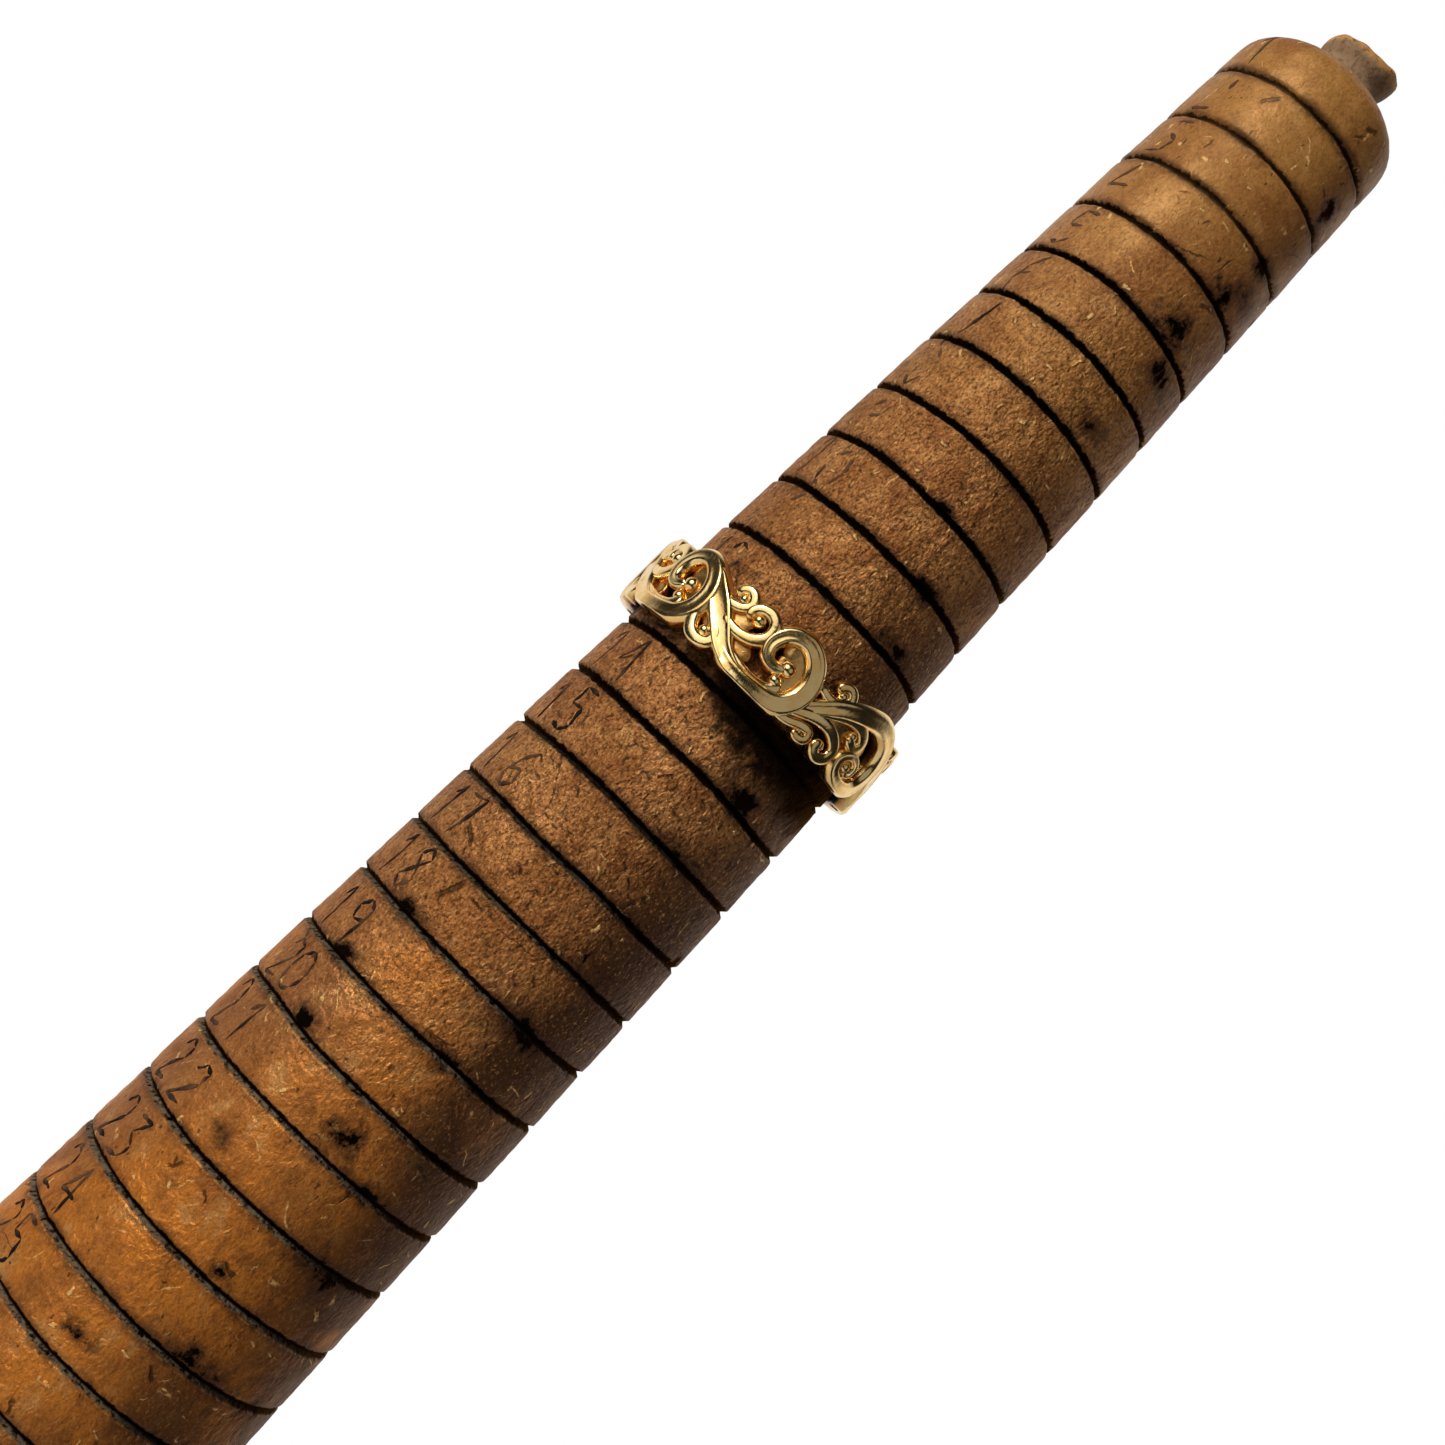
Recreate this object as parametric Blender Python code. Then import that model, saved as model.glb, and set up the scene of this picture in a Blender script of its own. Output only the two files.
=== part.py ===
"""Ring mandrel: a turned hardwood ring stick with hand-cut size lines, and the ring seated on it.

Metres, +Z up. The origin is the centre of the flat butt that the stick stands on, and the stick's
axis is the Z axis. The size lines are counted from the tip, so line 1 is the smallest size.
"""
import math

import bmesh
import bpy
from mathutils import Matrix, Vector

# ---------------------------------------------------------------- driving dimensions, in metres
# Graduated taper
LINE_COUNT = 30
LINE_PITCH = 0.004334          # spacing of the size lines along the axis
SLOW_WANDER = 0.000185         # how far hand marking moves a line off its even spacing:
MIDDLE_WANDER = 0.000121       # a wave of 31 lines, one of 7 lines
QUICK_WANDER = 0.000098        # and one of nearly 4 lines
FIRST_DIAMETER = 0.01255       # stick diameter at line 1
DIAMETER_STEP = 0.000385       # growth in diameter from line 1 to line 2
STEP_EASE = 0.0000021          # how the growth slackens towards the grip
GROOVE_WIDTH = 0.00060
GROOVE_DEPTH = 0.00034

# Nose and lathe button
NOSE_LAND = 0.0026             # straight stick between line 1 and the rounding of the nose
NOSE_HEIGHT = 0.0025           # height of the rounding
NOSE_FACE_RADIUS = 0.0031      # where the rounding ends and the button starts
NOSE_FULLNESS = 1.6            # 2 is a true quarter ellipse, less is flatter
BUTTON_HEIGHT = 0.0033
BUTTON_RADIUS = 0.0026
BUTTON_EDGE = 0.0004           # rounding of the button's rim

# Turned grip
LOWER_LAND = 0.0040            # plain stick between the last line and the collar
COLLAR_RADIUS = 0.0127
COLLAR_HEIGHT = 0.0052
COVE_DEPTH = 0.0013            # how far the coves beside the collar cut in
COVE_HEIGHT = 0.0026
NECK_RADIUS = 0.0098           # slimmest place of the grip, under the collar
GRIP_LENGTH = 0.0784           # butt to neck
BELLY_RADIUS = 0.0136
BELLY_HEIGHT = 0.0502          # height of the belly above the butt
WAIST_RADIUS = 0.0117
WAIST_HEIGHT = 0.0212          # height of the waist above the butt
HEEL_RADIUS = 0.0131
HEEL_EDGE = 0.0011             # rounding between the heel and the flat butt

# Scroll ring
RING_SEAT_LINE = 13            # the ring rests just above this line
RING_SEAT_GAP = 0.0009         # from that line up to the ring's lower edge
RING_CLEARANCE = 0.00015       # bore radius beyond the stick at the ring's lower edge
RING_WIDTH = 0.00557
RING_WALL = 0.00130            # bore to the top of the scrolls
LINER_WALL = 0.00050           # thin band behind the scrolls
LINER_WIDTH = 0.0036
SCROLL_WAVES = 4               # full waves of the stem round the ring
STEM_THICKNESS = 0.00100
TENDRIL_THICKNESS = 0.00080
VOLUTE_INSET = 0.00020         # volutes stop this far inside the ring's edges
CURL_THICKNESS = 0.00064
CURL_RADIUS = 0.00105
CURL_OFFSET = 0.00110          # curl's centre beside the stem, along the band
BEAD_RADIUS = 0.00055

# Fineness of the round shapes
STICK_SIDES = 32
BORE_SIDES = 64
RING_VOXEL = 0.00020
RING_KEEP = 0.10                # share of the fine surface's faces that the ring keeps


# ---------------------------------------------------------------- the stick's sizes
def line_height(number):
    """Height of a size line: even spacing down from the tip, plus three waves of hand marking."""
    even = collar_top() + LOWER_LAND + (LINE_COUNT - number) * LINE_PITCH
    steps = number - RING_SEAT_LINE
    slow = SLOW_WANDER * math.cos(0.2 * steps + 0.7)
    middle = MIDDLE_WANDER * math.cos(0.9 * steps - 0.1)
    quick = QUICK_WANDER * math.cos(1.7 * steps - 2.16)
    return even + slow + middle + quick


def collar_top():
    """Height where the upper cove ends and the plain taper begins."""
    return GRIP_LENGTH + 2 * COVE_HEIGHT + COLLAR_HEIGHT


def stick_radius(height):
    """Radius of the taper: the diameter grows by one step a line, a little less each time."""
    lines = (collar_top() + LOWER_LAND + (LINE_COUNT - 1) * LINE_PITCH - height) / LINE_PITCH
    return 0.5 * (FIRST_DIAMETER + DIAMETER_STEP * lines - STEP_EASE * lines * lines)


def eased(start, end, share):
    """A value that leaves start and reaches end with no slope."""
    return start + (end - start) * 0.5 * (1 - math.cos(math.pi * share))


# ---------------------------------------------------------------- the stick's outline, tip to butt
def button_outline():
    """(radius, height) from the button's end face down its rim to the nose."""
    base = line_height(1) + NOSE_LAND + NOSE_HEIGHT
    top = base + BUTTON_HEIGHT
    points = [(0.0, top)]
    for step in range(4):
        turn = math.radians(30 * step)
        points.append((BUTTON_RADIUS - BUTTON_EDGE * (1 - math.sin(turn)),
                       top - BUTTON_EDGE * (1 - math.cos(turn))))
    points.append((BUTTON_RADIUS, base + BUTTON_EDGE))
    return points


def nose_outline():
    """The nose's rounding, a flattened quarter ellipse from the button's foot to the land."""
    start = line_height(1) + NOSE_LAND
    land_radius = stick_radius(start)
    points = []
    for step in range(8):
        turn = math.radians(90 - 90 * step / 7)
        reach = max(math.cos(turn), 0.0) ** (2 / NOSE_FULLNESS)
        points.append((NOSE_FACE_RADIUS + (land_radius - NOSE_FACE_RADIUS) * reach,
                       start + NOSE_HEIGHT * math.sin(turn)))
    return points


def lines_outline():
    """Each size line is a V: upper lip, root, lower lip."""
    points = []
    for number in range(1, LINE_COUNT + 1):
        height = line_height(number)
        upper = height + GROOVE_WIDTH / 2
        lower = height - GROOVE_WIDTH / 2
        points.append((stick_radius(upper), upper))
        points.append((stick_radius(height) - GROOVE_DEPTH, height))
        points.append((stick_radius(lower), lower))
    return points


def cove_outline(top, top_radius, bottom_radius):
    """A cove between two radii: an eased step with a half-sine bitten out of it."""
    points = []
    for step in range(5):
        share = step / 4
        radius = eased(top_radius, bottom_radius, share) - COVE_DEPTH * math.sin(math.pi * share)
        points.append((radius, top - COVE_HEIGHT * share))
    return points


def collar_outline():
    """The upper cove, the half-round collar and the lower cove."""
    top = collar_top()
    collar_high = top - COVE_HEIGHT
    collar_low = collar_high - COLLAR_HEIGHT
    foot = COLLAR_RADIUS - COLLAR_HEIGHT / 3
    points = cove_outline(top, stick_radius(top), foot)
    for step in range(1, 6):
        turn = math.pi * step / 6
        points.append((foot + (COLLAR_RADIUS - foot) * math.sin(turn),
                       0.5 * (collar_high + collar_low) + 0.5 * COLLAR_HEIGHT * math.cos(turn)))
    return points + cove_outline(collar_low, foot, NECK_RADIUS)


def grip_outline():
    """The grip swells from the neck to the belly, draws in to the waist and flares to the heel."""
    stations = [
        (GRIP_LENGTH, NECK_RADIUS),
        (BELLY_HEIGHT, BELLY_RADIUS),
        (WAIST_HEIGHT, WAIST_RADIUS),
        (HEEL_EDGE, HEEL_RADIUS),
    ]
    points = []
    for (top, top_radius), (bottom, bottom_radius) in zip(stations, stations[1:]):
        for step in range(1, 6):
            share = step / 5
            points.append((eased(top_radius, bottom_radius, share), top + (bottom - top) * share))
    for step in range(1, 4):
        turn = math.radians(30 * step)
        points.append((HEEL_RADIUS - HEEL_EDGE * (1 - math.cos(turn)), HEEL_EDGE * (1 - math.sin(turn))))
    points.append((0.0, 0.0))
    return points


# ---------------------------------------------------------------- building tools
def new_object(name, mesh, colour, roughness, metallic):
    """An object at the origin with its own Principled material."""
    material = bpy.data.materials.new(name + "_finish")
    material.use_nodes = True
    shader = material.node_tree.nodes["Principled BSDF"]
    shader.inputs["Base Color"].default_value = colour
    shader.inputs["Roughness"].default_value = roughness
    shader.inputs["Metallic"].default_value = metallic
    mesh.materials.append(material)
    piece = bpy.data.objects.new(name, mesh)
    bpy.context.collection.objects.link(piece)
    return piece


def turned_mesh(name, outline, sides):
    """Spin an outline of (radius, height) points once round the Z axis and close its poles."""
    shape = bmesh.new()
    corners = [shape.verts.new((radius, 0.0, height)) for radius, height in outline]
    edges = [shape.edges.new(pair) for pair in zip(corners, corners[1:])]
    bmesh.ops.spin(shape, geom=corners + edges, cent=(0, 0, 0), axis=(0, 0, 1),
                   angle=2 * math.pi, steps=sides, use_duplicate=False)
    bmesh.ops.remove_doubles(shape, verts=shape.verts, dist=1e-6)
    bmesh.ops.recalc_face_normals(shape, faces=shape.faces)
    mesh = bpy.data.meshes.new(name)
    shape.to_mesh(mesh)
    shape.free()
    mesh.shade_smooth()
    mesh.set_sharp_from_angle(angle=math.radians(35))
    return mesh


def ring_stick():
    """The whole stick is one turned piece of hardwood."""
    outline = button_outline() + nose_outline() + lines_outline() + collar_outline() + grip_outline()
    mesh = turned_mesh("ring_stick", outline, STICK_SIDES)
    return new_object("ring_stick", mesh, (0.235, 0.105, 0.040, 1.0), 0.42, 0.0)


# ---------------------------------------------------------------- the scroll ring
def ring_base():
    """Height of the ring's lower edge when it is seated."""
    return line_height(RING_SEAT_LINE) + RING_SEAT_GAP


def bore_radius():
    """The bore clears the stick where the ring's lower edge touches the taper."""
    return stick_radius(ring_base()) + RING_CLEARANCE


def wrapped(along, rise, depth):
    """Bend a point of the flat pattern round the bore: along is an angle, rise a height from the
    middle of the band, depth a distance out from the bore."""
    radius = bore_radius() + depth
    middle = ring_base() + RING_WIDTH / 2
    return Vector((radius * math.cos(along), radius * math.sin(along), middle + rise))


def tube(points, thickness, taper):
    """A round wire through the points, whose end is taper times as thick as its start."""
    curve = bpy.data.curves.new("wire", "CURVE")
    curve.dimensions = "3D"
    curve.bevel_depth = thickness / 2
    curve.bevel_resolution = 2
    curve.use_fill_caps = True
    spline = curve.splines.new("POLY")
    spline.points.add(len(points) - 1)
    for index, point in enumerate(points):
        spline.points[index].co = (*point, 1.0)
        spline.points[index].radius = 1 + (taper - 1) * index / (len(points) - 1)
    guide = bpy.data.objects.new("wire", curve)
    mesh = bpy.data.meshes.new_from_object(guide)
    bpy.data.objects.remove(guide)
    return mesh


def stem_mesh():
    """The main stem is a closed sine wave round the band."""
    swing = (RING_WIDTH - STEM_THICKNESS) / 2
    depth = RING_WALL - STEM_THICKNESS / 2
    steps = SCROLL_WAVES * 24
    points = []
    for step in range(steps + 1):
        angle = 2 * math.pi * step / steps
        points.append(wrapped(angle, swing * math.cos(SCROLL_WAVES * angle), depth))
    return tube(points, STEM_THICKNESS, 1.0)


def spiral(place, centre, start, sweep, reach, end_share, thickness):
    """Points of a flat spiral bent onto the band. place counts half waves of the stem, and the odd
    ones are upside down; centre is its offset (along, up) from that place; the radius falls evenly
    from reach to end_share of it while the spiral turns through sweep degrees from start."""
    side = 1 if math.floor(place) % 2 == 0 else -1
    depth = RING_WALL - thickness / 2
    steps = round(abs(sweep) / 20)
    points = []
    for step in range(steps + 1):
        share = step / steps
        turn = math.radians(start + sweep * share)
        size = reach * (1 + (end_share - 1) * share)
        along = (centre[0] + size * math.cos(turn)) / (bore_radius() + depth)
        rise = side * (centre[1] + size * math.sin(turn))
        points.append(wrapped(math.pi * place / SCROLL_WAVES + along, rise, depth))
    return points


def volute_mesh(number):
    """One tendril leaves the stem past a crest and curls inwards to a bead, about one and a half
    turns; every second one is turned upside down."""
    reach = RING_WIDTH / 2 - TENDRIL_THICKNESS / 2 - VOLUTE_INSET
    points = spiral(number, (0.0, 0.0), 60, -500, reach, 0.26, TENDRIL_THICKNESS)
    return tube(points, TENDRIL_THICKNESS, 0.8), points[-1]


def curl_mesh(number):
    """A small curl fills the gap beside the stem, half way between two crests."""
    rise = RING_WIDTH / 2 - CURL_THICKNESS / 2 - CURL_RADIUS
    points = spiral(number + 0.5, (CURL_OFFSET, rise), -150, 330, CURL_RADIUS, 0.45, CURL_THICKNESS)
    return tube(points, CURL_THICKNESS, 0.9)


def bead_mesh(centre):
    """The bead at a tendril's end."""
    ball = bmesh.new()
    bmesh.ops.create_icosphere(ball, subdivisions=2, radius=BEAD_RADIUS,
                               matrix=Matrix.Translation(centre))
    mesh = bpy.data.meshes.new("bead")
    ball.to_mesh(mesh)
    ball.free()
    return mesh


def liner_mesh():
    """The thin plain band behind the scrolls; its inside is left proud for the bore to trim."""
    inner = bore_radius() - 3 * RING_VOXEL
    outer = bore_radius() + LINER_WALL
    middle = ring_base() + RING_WIDTH / 2
    low = middle - LINER_WIDTH / 2
    high = middle + LINER_WIDTH / 2
    outline = [(inner, high), (outer, high), (outer, low), (inner, low), (inner, high)]
    return turned_mesh("liner", outline, BORE_SIDES)


def bore_cutter():
    """A plain cylinder, circumscribed so that its flats keep the full clearance."""
    radius = bore_radius() / math.cos(math.pi / BORE_SIDES)
    low = ring_base() - RING_WIDTH
    high = ring_base() + 2 * RING_WIDTH
    mesh = turned_mesh("bore_cutter", [(0.0, high), (radius, high), (radius, low), (0.0, low)], BORE_SIDES)
    cutter = bpy.data.objects.new("bore_cutter", mesh)
    bpy.context.collection.objects.link(cutter)
    cutter.hide_render = True
    cutter.display_type = "WIRE"
    return cutter


def scroll_ring():
    """Liner, stem, tendrils and beads are cast as one: the shapes are merged, then bored."""
    shapes = [liner_mesh(), stem_mesh()]
    for number in range(2 * SCROLL_WAVES):
        tendril, end = volute_mesh(number)
        shapes += [tendril, bead_mesh(end), curl_mesh(number)]
    casting = bmesh.new()
    for mesh in shapes:
        casting.from_mesh(mesh)
        bpy.data.meshes.remove(mesh)
    bmesh.ops.remove_doubles(casting, verts=casting.verts, dist=1e-7)
    mesh = bpy.data.meshes.new("scroll_ring")
    casting.to_mesh(mesh)
    casting.free()
    piece = new_object("scroll_ring", mesh, (0.83, 0.60, 0.27, 1.0), 0.25, 1.0)

    merge = piece.modifiers.new("merge", "REMESH")
    merge.mode = "VOXEL"
    merge.voxel_size = RING_VOXEL
    lighten = piece.modifiers.new("lighten", "DECIMATE")
    lighten.ratio = RING_KEEP
    bore = piece.modifiers.new("bore", "BOOLEAN")
    bore.operation = "DIFFERENCE"
    bore.object = bore_cutter()
    return piece


def main():
    for old in list(bpy.data.objects):
        bpy.data.objects.remove(old)
    ring_stick()
    scroll_ring()


main()
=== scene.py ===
"""Looks of the ring mandrel: an old turned ring stick with hand-cut size lines and numerals, and the
gold scroll ring seated on it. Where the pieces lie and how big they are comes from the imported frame."""

import math

import bpy
import numpy as np
from mathutils import Matrix, Vector


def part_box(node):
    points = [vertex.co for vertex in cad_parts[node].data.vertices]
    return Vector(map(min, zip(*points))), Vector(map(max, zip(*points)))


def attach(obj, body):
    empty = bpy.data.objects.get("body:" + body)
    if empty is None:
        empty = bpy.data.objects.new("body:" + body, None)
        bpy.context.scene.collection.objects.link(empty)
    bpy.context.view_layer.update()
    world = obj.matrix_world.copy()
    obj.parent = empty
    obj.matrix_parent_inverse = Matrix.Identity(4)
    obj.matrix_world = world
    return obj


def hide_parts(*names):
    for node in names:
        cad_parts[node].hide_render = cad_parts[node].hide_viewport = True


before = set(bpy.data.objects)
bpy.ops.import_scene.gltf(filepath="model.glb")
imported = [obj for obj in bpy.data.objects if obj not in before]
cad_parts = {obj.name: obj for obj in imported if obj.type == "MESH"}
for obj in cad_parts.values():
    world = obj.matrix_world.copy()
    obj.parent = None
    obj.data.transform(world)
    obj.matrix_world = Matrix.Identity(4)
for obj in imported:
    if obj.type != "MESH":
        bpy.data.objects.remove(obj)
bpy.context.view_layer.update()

MM = 0.001

# Colours, as linear red, green, blue and alpha
WOOD_GOLD = (0.430, 0.190, 0.044, 1)
WOOD_BROWN = (0.480, 0.195, 0.060, 1)
WOOD_ORANGE = (0.620, 0.200, 0.026, 1)
WOOD_UMBER = (0.255, 0.080, 0.017, 1)
WOOD_PLUM = (0.265, 0.082, 0.026, 1)
WOOD_PALE = (0.640, 0.310, 0.095, 1)
WOOD_DARK = (0.055, 0.018, 0.007, 1)
WOOD_STAINED = (0.130, 0.062, 0.030, 1)
# Pale worn wood, also used for the painted highlight on the size lines' lips.
WOOD_WORN_AND_HIGHLIGHT = (0.900, 0.520, 0.180, 1)
# Black of soot, and also of the painted shade in the size lines and the painted shadow below the ring.
SOOT_AND_SHADE_BLACK = (0.006, 0.004, 0.003, 1)
DUST_GREY = (0.170, 0.122, 0.076, 1)
NECK_GREY = (0.330, 0.215, 0.125, 1)
GOLD_PALE = (1.000, 0.720, 0.320, 1)
GOLD_WARM = (1.000, 0.610, 0.205, 1)
GOLD_TARNISH = (0.600, 0.260, 0.050, 1)
GOLD_PAINTED_SHADE = (0.050, 0.018, 0.005, 1)

CENTRE_FRONT = math.radians(-90)   # the side of the stick that faces the camera, as an angle from +X


# ------------------------------------------------------------------------- reading the frame
def turned_outline(node):
    """Heights and radii of a turned CAD node, lowest ring first, with its two poles left out."""
    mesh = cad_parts[node].data
    corners = np.zeros(len(mesh.vertices) * 3, np.float32)
    mesh.vertices.foreach_get("co", corners)
    corners = corners.reshape(-1, 3).astype(float)
    radius = np.hypot(corners[:, 0], corners[:, 1])
    rings = np.unique(np.round(np.stack([corners[:, 2], radius], 1) / 1e-6), axis=0) * 1e-6
    rings = rings[rings[:, 1] > 1e-4]
    spread = np.concatenate([[True], np.diff(rings[:, 0]) > 5e-6])
    return rings[spread, 0], rings[spread, 1]


def line_roots(heights, radii):
    """Heights of the size lines, tip first: the rings that lie deeper than both of their close
    neighbours. Also the outline with those roots taken out, which is the stick before it was cut."""
    below = np.diff(heights)[:-1]
    above = np.diff(heights)[1:]
    deep = (radii[:-2] - radii[1:-1] > 0.2 * MM) & (radii[2:] - radii[1:-1] > 0.2 * MM)
    root = np.zeros(len(heights), bool)
    root[1:-1] = deep & (below < 0.35 * MM) & (above < 0.35 * MM)
    return heights[root][::-1], heights[~root], radii[~root]


def smooth_through(at, places, values):
    """A curve through the given values: a cubic on each stretch, whose slope at a value is the mean
    of the two chords beside it, and is flat where they rise and fall."""
    chords = np.diff(values) / np.diff(places)
    slopes = np.empty(len(values))
    slopes[1:-1] = np.where(chords[:-1] * chords[1:] > 0, 0.5 * (chords[:-1] + chords[1:]), 0.0)
    slopes[0] = chords[0]
    slopes[-1] = chords[-1]
    slot = np.clip(np.searchsorted(places, at, side="right") - 1, 0, len(places) - 2)
    span = places[slot + 1] - places[slot]
    share = (at - places[slot]) / span
    rise = values[slot + 1] - values[slot]
    ease = share * share * (3 - 2 * share)
    lean = span * (slopes[slot] * share * (1 - share) ** 2 - slopes[slot + 1] * share ** 2 * (1 - share))
    return values[slot] + rise * ease + lean


# ------------------------------------------------------------------------- shapes worked out in numpy
def hand_waves(turn, height, seed, count, longest, shortest):
    """An uneven surface: a sum of sine waves that close round the stick, with wavelengths along it
    between longest and shortest metres. The sum lies mostly between -1 and 1."""
    draw = np.random.default_rng(seed)
    total = np.zeros(np.broadcast(turn, height).shape)
    for _ in range(count):
        wavelength = longest * (shortest / longest) ** draw.random()
        around = draw.integers(0, max(2, int(0.05 / wavelength)))
        phase = 2 * math.pi * draw.random()
        lean = draw.choice([-1.0, 1.0])
        total += np.sin(around * turn + lean * 2 * math.pi * height / wavelength + phase)
    return total / math.sqrt(count)


def closed_grid(name, points, pole_low, pole_high, marks, arc, rise):
    """A mesh from points on a grid of rows by columns: the columns close into a ring, and the first
    and last rows close onto a pole. marks are named values at the grid's points. arc and rise are the
    unrolled coordinates of the columns, one more than there are, and of the rows."""
    rows, columns = points.shape[:2]
    vertices = np.concatenate([points.reshape(-1, 3), [pole_low, pole_high]])
    index = np.arange(rows * columns).reshape(rows, columns)
    here = index[:-1]
    over = index[1:]
    quads = np.stack([here, np.roll(here, -1, 1), np.roll(over, -1, 1), over], -1).reshape(-1, 4)
    low = rows * columns
    foot = np.stack([np.full(columns, low), np.roll(index[0], -1), index[0]], -1)
    head = np.stack([np.full(columns, low + 1), index[-1], np.roll(index[-1], -1)], -1)
    mesh = bpy.data.meshes.new(name)
    mesh.from_pydata(vertices.tolist(), [], quads.tolist() + foot.tolist() + head.tolist())
    for label, values in marks.items():
        mark = mesh.attributes.new(label, "FLOAT", "POINT")
        ends = [values[0].mean(), values[-1].mean()]
        mark.data.foreach_set("value", np.concatenate([values.ravel(), ends]).astype(np.float32))
    left = np.broadcast_to(arc[:-1], (rows - 1, columns))
    right = np.broadcast_to(arc[1:], (rows - 1, columns))
    under = np.broadcast_to(rise[:-1, None], (rows - 1, columns))
    above = np.broadcast_to(rise[1:, None], (rows - 1, columns))
    quad_map = np.stack([np.stack([left, right, right, left], -1),
                         np.stack([under, under, above, above], -1)], -1).reshape(-1, 2)
    middle = 0.5 * (arc[:-1] + arc[1:])
    foot_map = np.stack([np.stack([middle, arc[1:], arc[:-1]], -1),
                         np.tile([rise[0] - 6 * MM, rise[0], rise[0]], (columns, 1))], -1).reshape(-1, 2)
    head_map = np.stack([np.stack([middle, arc[:-1], arc[1:]], -1),
                         np.tile([rise[-1] + MM, rise[-1], rise[-1]], (columns, 1))], -1).reshape(-1, 2)
    layer = mesh.uv_layers.new(name="unrolled")
    layer.data.foreach_set("uv", np.concatenate([quad_map, foot_map, head_map]).astype(np.float32).ravel())
    mesh.shade_smooth()
    piece = bpy.data.objects.new(name, mesh)
    bpy.context.scene.collection.objects.link(piece)
    return piece


def joined_bars(name, grids):
    """One mesh from many bars. Each bar is a grid of points, rows along it by columns round it, and
    is closed by a pole at each end. The volume that a bar encloses, summed over its triangles as
    seen from its middle, is negative where its faces point inwards, and then they are turned."""
    vertices, faces, count = [], [], 0
    for points in grids:
        rows, sides = points.shape[:2]
        index = np.arange(rows * sides).reshape(rows, sides) + count
        here, over = index[:-1], index[1:]
        quads = np.stack([here, over, np.roll(over, -1, 1), np.roll(here, -1, 1)], -1).reshape(-1, 4)
        first, last = count + rows * sides, count + rows * sides + 1
        start = np.stack([np.full(sides, first), index[0], np.roll(index[0], -1)], -1)
        end = np.stack([np.full(sides, last), np.roll(index[-1], -1), index[-1]], -1)
        poles = [points[0].mean(0), points[-1].mean(0)]
        corners = np.concatenate([points.reshape(-1, 3), poles])
        triangles = np.concatenate([quads[:, :3], quads[:, [0, 2, 3]], start, end]) - count
        one, two, three = np.moveaxis((corners - corners.mean(0))[triangles], 1, 0)
        if np.sum(one * np.cross(two, three)) < 0:
            quads, start, end = quads[:, ::-1], start[:, ::-1], end[:, ::-1]
        vertices.append(corners)
        faces += quads.tolist() + start.tolist() + end.tolist()
        count += rows * sides + 2
    mesh = bpy.data.meshes.new(name)
    mesh.from_pydata(np.concatenate(vertices).tolist(), [], faces)
    mesh.shade_smooth()
    piece = bpy.data.objects.new(name, mesh)
    bpy.context.scene.collection.objects.link(piece)
    return piece


# ------------------------------------------------------------------------- the numerals
NUMERAL_TURN = CENTRE_FRONT - math.radians(55)   # the numbers' middle, on the left flank
NUMERAL_TALL = 3.1 * MM
NUMERAL_WIDE = 1.7 * MM
NUMERAL_GAP = 0.8 * MM
CUT_WIDTH = 0.26 * MM
WORN_NUMBERS = 15              # the numbers nearer the tip than this one have lost some of their cuts

# A gouge's straight cuts, in shares of a numeral's width and height, from its lower left corner.
DIGIT_CUTS = {
    0: [(0.5, 1), (0.12, 0.8), (0.02, 0.45), (0.2, 0.08), (0.5, 0), (0.85, 0.15), (1, 0.5), (0.85, 0.85),
        (0.5, 1)],
    1: [(0.2, 0.72), (0.6, 1.0), (0.55, 0.0)],
    2: [(0.05, 0.78), (0.35, 1.0), (0.8, 0.9), (0.85, 0.62), (0.1, 0.02), (0.95, 0.08)],
    3: [(0.1, 0.95), (0.9, 1.0), (0.4, 0.6), (0.9, 0.42), (0.75, 0.08), (0.05, 0.02)],
    4: [(0.75, 0.0), (0.7, 1.0), (0.0, 0.36), (1.0, 0.4)],
    5: [(0.95, 0.98), (0.2, 1.0), (0.12, 0.58), (0.75, 0.6), (0.85, 0.2), (0.45, 0.0), (0.0, 0.08)],
    6: [(0.8, 1.0), (0.25, 0.65), (0.1, 0.25), (0.45, 0.0), (0.9, 0.2), (0.7, 0.5), (0.2, 0.38)],
    7: [(0.0, 0.92), (0.95, 1.0), (0.35, 0.0)],
    8: [(0.8, 0.8), (0.45, 1.0), (0.15, 0.78), (0.85, 0.28), (0.5, 0.0), (0.1, 0.22), (0.8, 0.8)],
    9: [(0.85, 0.6), (0.35, 0.5), (0.1, 0.78), (0.45, 1.0), (0.88, 0.85), (0.7, 0.0)],
}


def unrolled(turn, middle, radius):
    """Arc length from the angle called middle, round a circle of the given radius."""
    return ((turn - middle + math.pi) % (2 * math.pi) - math.pi) * radius


def laid_on(shape, turn, height, lift):
    """Points on the stick's finished surface, raised by lift: the grid's points are blended between
    the two columns and the two rows beside each place."""
    columns, rows, points = shape
    across = np.interp((turn - columns[0]) % (2 * math.pi), columns - columns[0], np.arange(len(columns)))
    up = np.interp(height, rows, np.arange(len(rows)))
    left = across.astype(int)
    low = np.minimum(up.astype(int), len(rows) - 2)
    right = (left + 1) % len(columns)
    along = (across - left)[..., None]
    rise = (up - low)[..., None]
    under = points[low, left] * (1 - along) + points[low, right] * along
    over = points[low + 1, left] * (1 - along) + points[low + 1, right] * along
    spot = under * (1 - rise) + over * rise
    outward = np.stack([np.cos(turn), np.sin(turn), np.zeros(turn.shape)], -1)
    return spot + outward * lift[..., None]


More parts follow.
